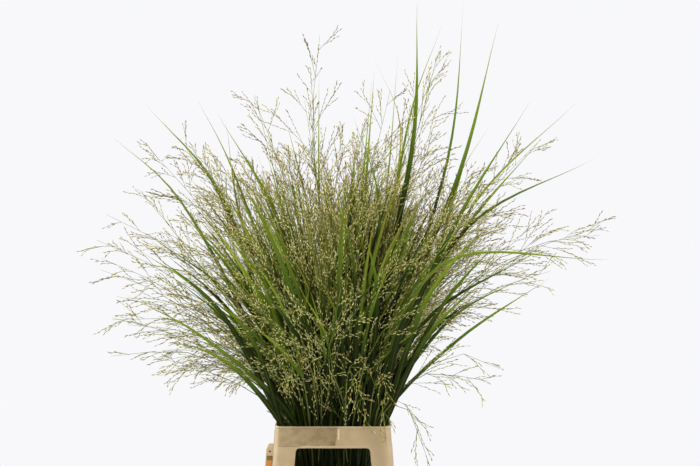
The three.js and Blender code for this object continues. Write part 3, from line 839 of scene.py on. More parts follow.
def seed_finish(settings):
    """Twigs and spikelets. Along the map's first way lies how young each one is; up the second come
    first the twigs, from the axis outwards, and then the spikelets, from their stalks to their tips."""
    f = Finish("switchgrass seed head", Specular_IOR_Level=0.06)
    youth, zone, _ = f.parts(f.map_of(BAKE_MAP))
    twig = f.ramp(zone, (0.0, settings.axis_colour), (0.25, paint(118, 136, 32)),
                  (0.45, settings.twig_colour))
    twig = f.blend(youth.between(0.46, 0.68) * 0.8, twig, settings.low_twig_colour)
    low = f.ramp(youth, (0.0, paint(92, 66, 36)), (0.35, paint(184, 176, 86)),
                 (0.66, paint(120, 130, 48)), (1.0, paint(60, 74, 22)))
    high = f.ramp(youth, (0.0, paint(104, 66, 44)), (0.3, settings.ripe_colour),
                  (0.56, settings.straw_colour), (0.8, paint(228, 230, 144)), (1.0, settings.green_seed))
    husk = f.blend(zone.between(0.62, 0.88), low, high)
    husk = f.blend(zone.between(0.93, 1.0) * 0.5, husk, paint(104, 66, 48))
    streak = (zone * 90.0).sine() * 0.5 + 0.5
    f.colour(f.layers(twig, (zone.between(0.46, 0.50), husk), (streak * 0.14, paint(236, 222, 180))))
    f.roughness(0.62 + streak * 0.12)
    return f.material


def floor_finish(settings):
    """A pale matt floor."""
    f = Finish("pale floor", Specular_IOR_Level=0.2)
    place = f.place()
    f.colour(f.blend(f.noise(place, 3), settings.floor_colour, paint(236, 236, 238)))
    f.roughness(0.8 + f.noise(place, 40, 2) * 0.1)
    return f.material


# ---------------------------------------------------------------- settings


def colour_setting(name, description, *colour):
    return bpy.props.FloatVectorProperty(name=name, description=description, subtype="COLOR", size=4,
                                         min=0, max=1, default=paint(*colour))


def size_setting(name, description, default, low, high, unit="LENGTH"):
    return bpy.props.FloatProperty(name=name, description=description, default=default, min=low, max=high,
                                   unit=unit)


def share_setting(name, description, default):
    return bpy.props.FloatProperty(name=name, description=description, default=default, min=0, max=1,
                                   subtype="FACTOR")


def count_setting(name, description, default, low, high):
    return bpy.props.IntProperty(name=name, description=description, default=default, min=low, max=high)


class ContainerSettings(bpy.types.PropertyGroup):
    collar_colour: colour_setting("Collar", "Clean plastic of the collar", 204, 180, 140)
    collar_yellowed: colour_setting("Collar, yellowed", "Where the collar has yellowed", 192, 167, 124)
    bucket_colour: colour_setting("Bucket", "Plastic of the bucket", 34, 40, 42)
    grime: share_setting("Grime", "How dirty the collar is", 0.6)
    lip: size_setting("Lip", "How far the collar's lip stands out", 0.001, 0, 0.003)
    softening: size_setting("Edges", "Width of the rounding on moulded edges", 0.0009, 0.0002, 0.0015)


class BladeSettings(bpy.types.PropertyGroup):
    # the sheath, low and middle colours are near black partly as painted shade
    sheath_colour: colour_setting("Sheath", "Foot of a blade", 20, 25, 10)
    low_colour: colour_setting("Low", "Blade low down", 14, 20, 9)
    middle_colour: colour_setting("Middle", "Blade at the rim and over it", 30, 43, 17)
    upper_colour: colour_setting("Upper", "Blade in its upper half", 102, 129, 36)
    high_colour: colour_setting("High", "Blade near its tip", 154, 174, 50)
    tip_colour: colour_setting("Tip", "Tip of a blade", 168, 160, 66)
    thickness: size_setting("Thickness", "Thickness of a blade", 0.0004, 0.0001, 0.001)
    fold: share_setting("Fold", "Depth of the blade's V, by its half width", 0.42)
    ripple: size_setting("Ripple", "Height of the waves along a blade's edges", 0.0008, 0, 0.003)


class SeedHeadSettings(bpy.types.PropertyGroup):
    culm_colour: colour_setting("Culm", "Upper part of a culm", 104, 118, 38)
    axis_colour: colour_setting("Axis", "Axis of a seed head", 100, 116, 24)
    twig_colour: colour_setting("Twig", "Outer twigs", 140, 152, 34)
    low_twig_colour: colour_setting("Low twig", "Twigs of the heads low in front", 78, 92, 26)
    ripe_colour: colour_setting("Ripe spikelet", "Riper spikelets", 156, 120, 64)
    straw_colour: colour_setting("Straw spikelet", "Drier spikelets", 240, 228, 156)
    green_seed: colour_setting("Green spikelet", "Youngest spikelets", 168, 180, 66)
    branches: count_setting("Branches", "Main branches of a seed head", 15, 7, 30)
    spikelet_length: size_setting("Spikelet length", "Length with its stalk", 0.0092, 0.003, 0.014)
    spikelet_width: size_setting("Spikelet width", "Greatest width", 0.0018, 0.0005, 0.003)
    spacing: size_setting("Spacing", "From one spikelet to the next on a twig", 0.0076, 0.003, 0.02)


class BunchSettings(bpy.types.PropertyGroup):
    further_shoots: count_setting("Further shoots", "Shoots between the main ones", 182, 0, 240)
    blades_each: count_setting("Blades each", "Blades on each further shoot", 3, 1, 5)
    seed: count_setting("Seed", "Changes how the further shoots lie", 7, 0, 1000)


class StageSettings(bpy.types.PropertyGroup):
    floor_colour: colour_setting("Floor", "Colour of the floor", 232, 232, 234)
    backdrop_colour: colour_setting("Backdrop", "Colour round the object", 248, 248, 251)
    front_colour: colour_setting("Front", "Colour behind the camera", 92, 92, 94)
    ceiling_colour: colour_setting("Ceiling", "Colour overhead", 84, 86, 90)
    floor_size: size_setting("Floor size", "Width of the floor", 3.6, 1, 20)
    lens: size_setting("Lens", "Focal length in millimetres", 95.45, 20, 200, "NONE")
    distance: size_setting("Distance", "From the camera to the object's middle", 3.345, 1, 10)
    key: size_setting("Key light", "Power of the main softbox", 85, 0, 500, "POWER")
    side: size_setting("Side light", "Power of each side softbox", 38, 0, 500, "POWER")
    fill: size_setting("Fill light", "Power of the softbox overhead", 14, 0, 500, "POWER")


# ---------------------------------------------------------------- the stage


VIEWED = (0.0293, 0.8136)  # across and up: where the camera looks, level
LIT = (0, 0, 0.7)  # where the lamps are turned to


def softbox(name, place, size, power):
    """A soft rectangular lamp turned to the object."""
    rest()
    turn = (Vector(LIT) - Vector(place)).to_track_quat("-Z", "Y").to_euler()
    bpy.ops.object.light_add(type="AREA", location=place, rotation=turn)
    lamp = bpy.context.object
    lamp.name = name
    lamp.data.shape = "RECTANGLE"
    lamp.data.size, lamp.data.size_y = size
    lamp.data.energy = power


class BuildStage(bpy.types.Operator):
    """Sets the camera, the soft lights, the colour round the object and the floor"""

    bl_idname = "switchgrass.stage"
    bl_label = "Stage"
    bl_options = {"REGISTER", "UNDO"}

    def execute(self, context):
        settings = context.scene.switchgrass_stage
        scene = context.scene
        bpy.ops.object.camera_add(location=(VIEWED[0], -settings.distance, VIEWED[1]),
                                  rotation=(math.pi / 2, 0, 0))
        camera = context.object
        camera.name = "camera"
        camera.data.sensor_width = 36
        camera.data.lens = settings.lens
        scene.camera = camera
        scene.view_settings.view_transform = "Standard"
        scene.view_settings.look = "None"
        world = bpy.data.worlds.new("studio")
        world.use_nodes = True
        sky = Nodes(world.node_tree)
        _, back, rise = sky.parts(sky.node("ShaderNodeTexCoord", output="Generated"))
        front = 1 - back.between(-0.2, 0.92)
        shade = sky.blend(front, settings.backdrop_colour, settings.front_colour)
        shade = sky.blend(rise.between(0.12, 0.5), shade, settings.ceiling_colour)
        sky.plug(sky.tree.nodes["Background"].inputs["Color"], shade)
        scene.world = world
        softbox("key softbox", (-0.7, -2.1, 2.9), (0.9, 0.9), settings.key)
        softbox("left softbox", (-2.3, 0.7, 1.0), (0.8, 1.8), settings.side)
        softbox("right softbox", (2.3, 0.0, 1.0), (0.8, 1.8), settings.side)
        softbox("top softbox", (0.1, 0.3, 2.9), (1.6, 1.6), settings.fill)
        rest()
        bpy.ops.mesh.primitive_plane_add(size=settings.floor_size, location=(0, 0, 0))
        floor = finished("floor")
        floor.data.materials.append(floor_finish(settings))
        return {"FINISHED"}


# ---------------------------------------------------------------- the container


def rounded(half, radius):
    """A level face with round corners, in edit mode, from which a moulding is drawn up."""
    started(bpy.ops.mesh.primitive_plane_add, size=2)
    bpy.ops.transform.resize(value=(half[0] * MM, half[1] * MM, 1), center_override=(0, 0, 0))
    bpy.ops.mesh.bevel(offset=radius * MM, segments=8, affect="VERTICES")
    bpy.ops.mesh.select_mode(type="FACE")
    bpy.ops.mesh.select_all(action="SELECT")


def drawn_on(start, steps):
    """Draws the selected level face on through heights and half sizes."""
    z, half = start
    for next_z, next_half in steps:
        bpy.ops.mesh.extrude_region_move(TRANSFORM_OT_translate={"value": (0, 0, (next_z - z) * MM)})
        bpy.ops.transform.resize(value=(next_half[0] / half[0], next_half[1] / half[1], 1),
                                 center_override=(0, 0, next_z * MM))
        z, half = next_z, next_half


def soften(piece, width, segments=2, angle=35):
    """Rounds a moulding's edges and shades it smooth between its corners."""
    choose(piece)
    rounding = piece.modifiers.new("rounding", "BEVEL")
    rounding.width = width
    rounding.segments = segments
    rounding.limit_method = "ANGLE"
    rounding.angle_limit = math.radians(angle)
    rounding.use_clamp_overlap = True
    bpy.ops.object.modifier_apply(modifier="rounding")
    bpy.ops.object.shade_smooth_by_angle(angle=math.radians(30))


def joined(pieces, name):
    """Makes one piece of several."""
    choose(pieces[0])
    for piece in pieces:
        piece.select_set(True)
    bpy.ops.object.join()
    pieces[0].name = pieces[0].data.name = name
    return pieces[0]


def settle(piece, finish, slot, *nodes):
    """Gives a piece its finish and its place in the frame."""
    piece.data.materials.clear()
    piece.data.materials.append(finish)
    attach(piece, "root")
    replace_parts(piece, *nodes)


def merged_copy(node):
    """A copy of a frame's node, welded, with its flat faces whole again."""
    rest()
    piece = bpy.data.objects.new(node.name + "_copy", node.data.copy())
    bpy.context.scene.collection.objects.link(piece)
    choose(piece)
    bpy.ops.mesh.customdata_custom_splitnormals_clear()
    editing()
    bpy.ops.mesh.select_all(action="SELECT")
    bpy.ops.mesh.remove_doubles(threshold=1e-5)
    bpy.ops.mesh.dissolve_limited(angle_limit=math.radians(2))
    rest()
    return piece


def bucket_half(z, out):
    """The bucket's half sizes at a height, that far out of its tapered wall."""
    return mix(BUCKET_FOOT_HALF, BUCKET_RIM_HALF, z / BUCKET_HEIGHT) + out


class BuildBucket(bpy.types.Operator):
    """Models the bucket: foot, tapered wall, ledge with gussets, rolled rim, inside wall and floor"""

    bl_idname = "switchgrass.bucket"
    bl_label = "Bucket"
    bl_options = {"REGISTER", "UNDO"}

    def execute(self, context):
        settings = context.scene.switchgrass_container
        below, above = ([(z, bucket_half(z, out)) for z, out in steps]
                        for steps in (PROFILE_BELOW, PROFILE_ABOVE))
        ledge_half = bucket_half(LEDGE, LEDGE_OUT)
        rounded(below[0][1], BUCKET_CORNER)
        drawn_on(below[0], [*below[1:], (LEDGE, ledge_half), (LEDGE_TOP, ledge_half), *above])
        bucket = finished("bucket_shell")
        editing()
        bpy.ops.mesh.select_mode(type="FACE")
        pick("faces", lambda f: f.normal.z < -0.9 and f.calc_center_median().z < 1e-4)
        bpy.ops.mesh.inset(thickness=RING_WIDTH * MM, depth=0)
        bpy.ops.mesh.inset(thickness=RING_SLANT * MM, depth=-RING_HEIGHT * MM)
        rest()
        fins = self.gussets(settings)
        soften(bucket, settings.softening, 2, 30)
        whole = joined([bucket, *fins], "bucket_moulding")
        settle(whole, bucket_finish(settings), "bucket", "bucket")
        return {"FINISHED"}

    @staticmethod
    def gussets(settings):
        """Small fins under the ledge, square to each wall."""
        made = []
        half = bucket_half(LEDGE, 0.0)
        # for each wall: which way it faces, the axis across it, and how many fins it has
        for turn, out, count in ((0, 0, 5), (math.pi, 0, 5), (math.pi / 2, 1, 4), (-math.pi / 2, 1, 4)):
            reach, away = half[1 - out] - GUSSET_MARGIN, (half[out] + GUSSET_OUT) * MM
            for k in range(count):
                started(bpy.ops.mesh.primitive_cube_add, size=1)
                bpy.ops.transform.resize(value=tuple(side * MM for side in GUSSET))
                pick("verts", lambda v: v.co.x > 0 and v.co.z < 0)
                bpy.ops.transform.translate(value=(-GUSSET_SLANT * MM, 0, 0))
                rest()
                fin = bpy.context.object
                place = [math.cos(turn) * away, math.sin(turn) * away, (LEDGE - GUSSET_DOWN) * MM]
                place[1 - out] += mix(-reach, reach, k / (count - 1)) * MM
                fin.location = place
                fin.rotation_euler = (0, 0, turn)
                soften(applied(fin), settings.softening / 2, 1)
                made.append(fin)
        return made


def middle_of_wall(axis, sign):
    """The number of the face in the middle of one of the collar's walls, and its corners' heights."""
    form = bmesh.from_edit_mesh(bpy.context.object.data)
    walls = [f for f in form.faces if sign * f.normal[axis] > 0.9
             and abs(f.calc_center_median()[1 - axis]) < 0.004 and 0.30 < f.calc_center_median().z < 0.40]
    face = max(walls, key=lambda f: f.calc_area())
    return face.index, {v.index: v.co.z for v in face.verts}


class BuildCollar(bpy.types.Operator):
    """Models the windowed collar that stands on the bucket's ledge"""

    bl_idname = "switchgrass.collar"
    bl_label = "Collar"
    bl_options = {"REGISTER", "UNDO"}

    def execute(self, context):
        settings = context.scene.switchgrass_container
        foot_half = COLLAR_HALF + COLLAR_FLARE
        tall = (RIM - COLLAR_FOOT) * MM
        started(bpy.ops.mesh.primitive_cube_add, size=2)
        bpy.ops.transform.resize(value=(foot_half[0] * MM, foot_half[1] * MM, tall / 2),
                                 center_override=(0, 0, 0))
        bpy.ops.transform.translate(value=(0, 0, COLLAR_FOOT * MM + tall / 2))
        pick("verts", lambda v: v.co.z > 0.4)
        bpy.ops.transform.resize(value=(COLLAR_HALF[0] / foot_half[0], COLLAR_HALF[1] / foot_half[1], 1),
                                 center_override=(0, 0, RIM * MM))
        bpy.ops.mesh.select_mode(type="FACE")
        pick("faces", lambda f: abs(f.normal.z) > 0.9)
        bpy.ops.mesh.delete(type="ONLY_FACE")
        bpy.ops.mesh.select_mode(type="EDGE")
        pick("edges", lambda e: abs(e.verts[0].co.z - e.verts[1].co.z) > 0.1)
        bpy.ops.mesh.bevel(offset=COLLAR_CORNER * MM, segments=6, affect="EDGES")
        for axis, sign in ((0, -1), (0, 1), (1, -1), (1, 1)):
            self.window(axis, sign)
        self.lip(settings)
        collar = finished("collar_shell")
        wall = collar.modifiers.new("wall", "SOLIDIFY")
        wall.thickness = COLLAR_WALL * MM
        wall.offset = -1
        wall.use_even_offset = True
        bpy.ops.object.modifier_apply(modifier="wall")
        soften(collar, settings.softening, 2, 32)
        whole = joined([collar, *self.rib()], "collar_moulding")
        settle(whole, collar_finish(settings), "collar", "collar")
        return {"FINISHED"}

    @staticmethod
    def window(axis, sign):
        """Opens a window in one wall, with round corners and a raised bead."""
        def pick_face():
            bpy.ops.mesh.select_mode(type="FACE")
            number, _ = middle_of_wall(axis, sign)
            pick("faces", lambda f: f.index == number)

        def pick_corners(low, high):
            bpy.ops.mesh.select_mode(type="VERT")
            _, heights = middle_of_wall(axis, sign)
            pick("verts", lambda v: low < heights.get(v.index, 0) < high)

        middle = (RIM + COLLAR_FOOT) / 2 * MM
        pick_face()
        bpy.ops.mesh.inset(thickness=WINDOW_EDGE * MM, depth=0)
        for low, high, inwards in ((middle, 1, -WINDOW_OVER * MM), (0, middle, WINDOW_UNDER * MM)):
            pick_corners(low, high)
            move = [0, 0, inwards]
            move[axis] = -sign * inwards * COLLAR_SLOPE
            bpy.ops.transform.translate(value=move)
        pick_corners(0, 1)
        bpy.ops.mesh.bevel(offset=WINDOW_CORNER * MM, segments=4, affect="VERTICES")
        pick_face()
        bpy.ops.mesh.inset(thickness=BEAD_SLANT * MM, depth=BEAD_HEIGHT * MM)
        bpy.ops.mesh.inset(thickness=BEAD_WIDTH * MM, depth=0)
        bpy.ops.mesh.delete(type="FACE")

    @staticmethod
    def lip(settings):
        """Turns the top edge out a little."""
        for z in (LIP_FROM, LIP_TO):
            bpy.ops.mesh.select_all(action="SELECT")
            bpy.ops.mesh.bisect(plane_co=(0, 0, z * MM), plane_no=(0, 0, 1))
        bpy.ops.mesh.select_mode(type="VERT")
        pick("verts", lambda v: v.co.z > (LIP_FROM + LIP_TO) / 2 * MM)
        wider = [1 + settings.lip / (half * MM) for half in COLLAR_HALF]
        bpy.ops.transform.resize(value=(*wider, 1), center_override=(0, 0, 0))

    @staticmethod
    def rib():
        """The small moulded rib on the front wall and the knob it ends in."""
        made = []
        for z, radius, length in RIB_PARTS:
            rest()
            bpy.ops.mesh.primitive_uv_sphere_add(segments=12, ring_count=8, radius=radius * MM,
                                                 location=(RIB_ACROSS * MM, -collar_half(z)[1] * MM, z * MM))
            editing()
            pick("verts", lambda v: v.co.z > 1e-5)
            rise = length * MM
            bpy.ops.transform.translate(value=(0, rise * COLLAR_SLOPE, rise))
            made.append(applied(bpy.context.object))
            bpy.ops.object.shade_smooth()
        return made


class BuildCardHolder(bpy.types.Operator):
    """Rounds the card holder's edges and gives it and its card their finishes"""

    bl_idname = "switchgrass.card_holder"
    bl_label = "Card holder and card"
    bl_options = {"REGISTER", "UNDO"}

    def execute(self, context):
        for node, name, width, finish, slot in (
                ("card_holder", "holder_moulding", 0.0004, holder_finish(), "collar"),
                ("card", "sleeve_card", 0.0003, card_finish(), "card")):
            piece = merged_copy(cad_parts[node])
            piece.name = piece.data.name = name
            soften(piece, width)
            settle(piece, finish, slot, node)
        return {"FINISHED"}


# ---------------------------------------------------------------- the grass


# a blade's strip: steps along it, and for each column its place across and how far it is lifted
NEAR_STRIP = (22, ((0.14, 0.12), (0.58, 0.46), (1.0, 0.42)))
FAR_STRIP = (13, ((0.3, 0.28), (1.0, 0.72)))


class Blade:
    """A blade's line and measures."""

    WAVE = 47  # length of one wave along its edges

    def __init__(self, line, width, turn, away, seed, tone):
        self.line, self.width, self.turn, self.away = line, width, turn, away
        self.seed, self.tone = seed, tone
        self.taper = 2.2 + share(seed + 0.3)
        self.cup = 1 if share(seed + 0.7) > 0.4 else -1

    def points(self, strip, ripple):
        """Lays the strip along the line: wrapped to its culm at the foot, turned to its own face above."""
        x, t, z = strip.points.T
        along = self.line.along(t)
        # narrow where it wraps its culm, widest in its lower half, drawn out to a fine tip
        opened = (mix(0.45, 1, ease(t, 0, 0.35)) * (1 - 0.97 * t ** self.taper)
                  * (1 - 0.5 * ease(t, 0.8, 0.95)))
        half = self.width / 2 * opened
        wrapped = math.degrees(math.atan2(self.away[0], -self.away[1]))
        at_foot = wrapped - math.copysign(180, wrapped) if abs(wrapped - self.turn) > 90 else wrapped
        twist = (share(self.seed + 0.1) - 0.5) * 50 * ease(t, 0.5, 1)
        face = np.radians(mix(at_foot, self.turn, ease(t, 0.15, 0.5)) + twist)[:, None]
        level, up = sides_of(along)
        wide = level * np.cos(face) + up * np.sin(face)
        flat = np.cross(along, wide)
        waves = t * self.line.length / self.WAVE + share(self.seed) * 6
        ruffle = ripple / MM * np.sin(2 * math.pi * waves + np.sign(x)) * x ** 2 * ease(t, 0.1, 0.3) * (1 - t)
        lift = z * half * self.cup + ruffle
        return self.line.at(t) + wide * (x * half)[:, None] + flat * lift[:, None]


class Shoot:
    """A culm with its seed head and its blades; youth goes from 0 for a ripe head to 1 for a green one."""

    def __init__(self, line, head_length, seed):
        self.line, self.head_length, self.seed = line, head_length, seed
        self.neck = 1 - head_length / line.length
        self.joints, self.blades = [], []
        self.youth, self.fullness = 0.42, 1.0
        # how wide its branches slant: less in the tall heads
        self.spread = mix(1.1, 0.6, ease(line.points[-1][2] - RIM, 430, 620))

    def add_blade(self, tip, bend, width, joint, turn, away, tone):
        line = blade_line(self.line, tip, bend, joint, away)
        seed = self.seed * 3.7 + len(self.blades)
        self.joints.append(self.line.share_at(RIM - joint))
        self.blades.append(Blade(line, width, turn, away, seed, tone))

    def stem_points(self, tube):
        """The culm's tube laid along the line, with a sheath's end at each blade's joint."""
        sheaths = {round((joint / self.neck - SHEATH) * INTERNODES) / INTERNODES + SHEATH: joint / self.neck
                   for joint in self.joints}
        ends = sorted((k, j) for k, j in sheaths.items() if 0.02 < k < 0.95)
        given = [0.0] + [k for k, _ in ends] + [1.0]
        wanted = [0.0] + sorted(j for _, j in ends) + [1.0]
        share_up = np.interp(tube.points[:, 2], given, wanted)
        radius = mix(*CULM_RADII, share_up)
        points = swept(tube, self.line, share_up * self.neck, radius)
        points[tube.points[:, 2] < 1e-6, 2] = BUCKET_FLOOR + SEAT_GAP
        return points


def swept(tube, line, shares, radius):
    """A tube's points along a line, at shares of the line's length."""
    aside, up = sides_of(line.along(shares))
    x, y = tube.points[:, 0] * radius, tube.points[:, 1] * radius
    return line.at(shares) + aside * x[:, None] + up * y[:, None]


def struts(tube, starts, ends, radii):
    """Straight copies of a tube from each start to its end."""
    starts, ends = np.asarray(starts, float), np.asarray(ends, float)
    aside, up = sides_of(unit(ends - starts))
    x, y, t = (tube.points[None, :, k, None] for k in range(3))
    radii = np.asarray(radii, float)[:, None, None]
    return mix(starts[:, None], ends[:, None], t) + aside[:, None] * x * radii + up[:, None] * y * radii


def leant(directions, spin, angle):
    """Directions leant over by an angle, each to the side that its spin gives."""
    aside, up = sides_of(directions)
    out = aside * np.cos(spin)[:, None] + up * np.sin(spin)[:, None]
    return directions * np.cos(angle)[:, None] + out * np.sin(angle)[:, None]


class SeedHead:
    """A seed head: an axis, slanting branches, twigs on them, and spikelets on their stalks."""

    SOLID_SLANT = math.radians(36.87)
    SOLID_BRANCHES = 7
    SOLID_NEAR = 1.2  # how near to a branch's end the solid has a corner
    AXIS_RADII, BRANCH_RADII, TWIG_RADIUS = (0.9, 0.22), (0.42, 0.24), 0.26
    TWIG_SPACING = 10.5
    SHORTEST_TWIG = 13
    TWIGS_FROM, TWIGS_TO = 0.24, 0.94  # along a branch
    BRANCH_LEAN, TWIG_LEAN, SPIKELET_LEAN = (13, 33), (12, 30), (3, 15)  # bounds, in degrees
    # how far up the map each kind lies, which the finish reads
    AXIS_ZONE, BRANCH_ZONE, TWIG_ZONE, SPIKELET_ZONE = (0.02, 0.12), (0.12, 0.32), (0.32, 0.42), (0.52, 0.98)

    def __init__(self, shoot, settings, solid=None):
        self.shoot, self.settings, self.solid = shoot, settings, solid
        self.rng = np.random.default_rng(1000 + shoot.seed)
        self.start = 1 - (shoot.head_length - SEAT_GAP) / shoot.line.length

    def axis_at(self, t):
        return self.shoot.line.at(mix(self.start, 1, t))

    @staticmethod
    def branch(root, along, length, turn, slant):
        aside, up = sides_of(along)
        heading = along * math.cos(slant) + (aside * math.cos(turn) + up * math.sin(turn)) * math.sin(slant)
        end = root + heading * length
        end[2] -= 0.08 * length
        return [root, root + heading * length / 2, end]

    def solid_branches(self):
        """The branches that the frame's solid has, each found by the corners at its end."""
        found = []
        seed, length = self.shoot.seed, self.shoot.head_length
        corners = np.array([v.co for v in self.solid.data.vertices]) / MM
        for k in range(self.SOLID_BRANCHES):
            place = k / self.SOLID_BRANCHES
            low, high = self.axis_at(place), self.axis_at((k + 1) / self.SOLID_BRANCHES)
            reach = length * mix(0.46, 0.14, place) * (1 + 0.3 * (share(seed * 31 + k) - 0.5))
            for attempt in range(24):
                turn = seed + k * 2.4 + attempt * 0.55
                way = self.branch(mix(low, high, 0.4), unit(high - low), reach, turn, self.SOLID_SLANT)
                if np.linalg.norm(corners - way[2], axis=1).min() < self.SOLID_NEAR:
                    found.append(way)
                    break
        return found

    def further_branches(self, count):
        """Branches between those, each turned on where it would meet the collar."""
        found = []
        for j in range(count):
            t = mix(0.03, 0.95, (j + 0.5) / count)
            root, along = self.axis_at(t), self.shoot.line.along(mix(self.start, 1, t))
            length = self.shoot.head_length * mix(0.5, 0.1, t) * self.rng.uniform(0.7, 1.2)
            slant = math.radians(self.rng.uniform(*self.BRANCH_LEAN)) * self.shoot.spread
            for attempt in range(8):
                turn = self.shoot.seed * 1.7 + j * GOLDEN_TURN + attempt * 0.8
                way = self.branch(root, along, length, turn, slant)
                way[2][2] -= 0.06 * length
                path = np.array([mix(root, way[2], s) for s in np.linspace(0.1, 1.15, 8)])
                if clear_of_collar(path).all():
                    found.append(way)
                    break
        return found

    def grow(self, pile, shapes):
        """Adds the whole head to a pile."""
        rng, shoot, tube = self.rng, self.shoot, shapes["branch"]
        ways = self.solid_branches() if self.solid else []
        ways += self.further_branches(max(3, round(self.settings.branches * shoot.fullness) - len(ways)))
        up = tube.points[:, 2]
        pile.add(tube, swept(tube, shoot.line, mix(self.start, 1, up), mix(*self.AXIS_RADII, up)),
                 {BAKE_MAP: tube.map(0.45, 0.5, *self.AXIS_ZONE)})
        stalks = []
        for way in ways:
            reach = np.linalg.norm(way[2] - way[0])
            way[1] = way[1] + rng.normal(0, 0.018 * reach, 3)
            line = Line(way)
            tint = np.clip(shoot.youth + rng.normal(0, 0.09), 0.05, 0.95)
            pile.add(tube, swept(tube, line, up, mix(*self.BRANCH_RADII, up)),
                     {BAKE_MAP: tube.map(tint - 0.02, tint + 0.02, *self.BRANCH_ZONE)})
            stalks += self.twigs(pile, shapes["twig"], line, tint)
            outer = np.arange(0.42 * reach, reach - 3, self.settings.spacing / MM)
            stalks.append((line.at(outer / reach), line.along(outer / reach), np.full(len(outer), tint)))
            stalks.append((line.at([0.99]), line.along([0.99]), np.array([tint])))
        self.spikelets(pile, shapes["spikelet"], *(np.concatenate(part) for part in zip(*stalks)))

    def twigs(self, pile, tube, line, tint):
        """Twigs on one branch; gives the spikelets' roots, headings and tints."""
        rng = self.rng
        step = self.TWIG_SPACING / self.shoot.fullness
        places = np.arange(self.TWIGS_FROM * line.length, self.TWIGS_TO * line.length, step) / line.length
        if not len(places):
            return []
        places = np.clip(places + rng.normal(0, 0.01, len(places)), 0.1, 0.97)
        roots = line.at(places)
        spin = np.arange(len(places)) * math.pi + rng.uniform(-0.9, 0.9, len(places)) + rng.uniform(0, 6)
        headings = leant(line.along(places), spin, np.radians(rng.uniform(*self.TWIG_LEAN, len(places))))
        lengths = (0.6 - 0.42 * places) * line.length * rng.uniform(0.6, 1.3, len(places))
        lengths = np.maximum(self.SHORTEST_TWIG, lengths)
        ends = roots + headings * lengths[:, None]
        ends[:, 2] -= 0.05 * lengths
        free = clear_of_collar(ends) & clear_of_collar((roots + ends) / 2)
        roots, ends, lengths = roots[free], ends[free], lengths[free]
        if not len(roots):
            return []
        pile.add(tube, struts(tube, roots, ends, np.full(len(roots), self.TWIG_RADIUS)),
                 {BAKE_MAP: tube.map(tint - 0.02, tint + 0.02, *self.TWIG_ZONE)})
        made = []
        for root, end, length in zip(roots, ends, lengths):
            heading = unit(end - root)
            spots = np.append(np.arange(0.2 * length, length - 3, self.settings.spacing / MM), length - 0.5)
            made.append((root + heading * spots[:, None], np.tile(heading, (len(spots), 1)),
                         np.full(len(spots), tint)))
        return made

    def spikelets(self, pile, shape, roots, headings, tints):
        """Spikelets to either side in turn, each of its own length, width and tint."""
        rng, settings = self.rng, self.settings
        count = len(roots)
        spin = np.arange(count) * math.pi + rng.uniform(-1.1, 1.1, count)
        ways = leant(headings, spin, np.radians(rng.uniform(*self.SPIKELET_LEAN, count)))
        lengths = settings.spikelet_length / MM * rng.uniform(0.75, 1.12, count)
        ends = roots + ways * lengths[:, None]
        free = clear_of_collar(ends)
        roots, ends, tints = roots[free], ends[free], tints[free]
        radii = settings.spikelet_width / MM / 2 * rng.uniform(0.8, 1.15, len(roots))
        tints = np.clip(tints + rng.normal(0, 0.17, len(roots)), 0.02, 0.96)
        maps = np.tile(shape.map(0, 0.02, *self.SPIKELET_ZONE), (len(roots), 1, 1))
        maps[:, :, 0] += tints[:, None]
        pile.add(shape, struts(shape, roots, ends, radii), {BAKE_MAP: maps})


def season(head):
    """How young and how full a head is, by its place in mm: younger low in front, riper outside, and
    looser low in front, at the sides and at the top."""
    low = ease(-head[1], 0, 200) * (1 - ease(head[2], 330, 600))
    out = ease(math.hypot(head[0] - 20, head[2] - 150), 260, 560)
    side = ease(abs(head[0] - 20), 180, 380) * (1 - ease(head[2], 240, 460))
    right = ease(head[0], 150, 350) * (1 - ease(head[2], 260, 420))
    top = ease(head[2], 500, 660)
    return 0.42 - 0.15 * out + 0.26 * low, 1 - max(0.6 * low, 0.75 * side, 0.62 * right) - 0.5 * top


def main_shoots():
    """The sixteen shoots of the frame, with its blades."""
    shoots = []
    for i, (head, head_length, bend, blades) in enumerate(SHOOTS):
        mouth = (MOUTH_COLUMNS[i // len(MOUTH_ROWS)], MOUTH_ROWS[i % len(MOUTH_ROWS)])
        shoot = Shoot(shoot_line(head, bend, mouth), head_length, i + 1)
        shoot.youth, fullness = season(head)
        shoot.fullness = 0.82 * fullness
        for order, (tip, blade_bend, width, joint, turn) in enumerate(blades):
            away = leaving_way(tip, head, blades[0][0], mouth, order)
            shoot.add_blade(tip, blade_bend, width, joint, turn, away,
                            MAIN_TONES.get((i + 1, order), share(i * 5.3 + order)))
        shoots.append(shoot)
    return shoots


def scattered_shoots(settings):
    """Shoots that fill the bunch out between the main ones: those on bare culms, then the seeded ones."""
    rng = np.random.default_rng(settings.seed)
    shoots = []
    for number, (mouth, via, tip, head_length, fullness) in enumerate(BARE_SHOOTS):
        line = Line([foot_under(mouth), over_rim(mouth), over_rim(via), over_rim(tip)])
        shoots.append(Shoot(line, head_length, FIRST_BARE + number))
        shoots[-1].fullness = fullness
    count = settings.further_shoots
    return shoots + [seeded_shoot(rng, k, (k + 0.5) / count, settings.blades_each) for k in range(count)]


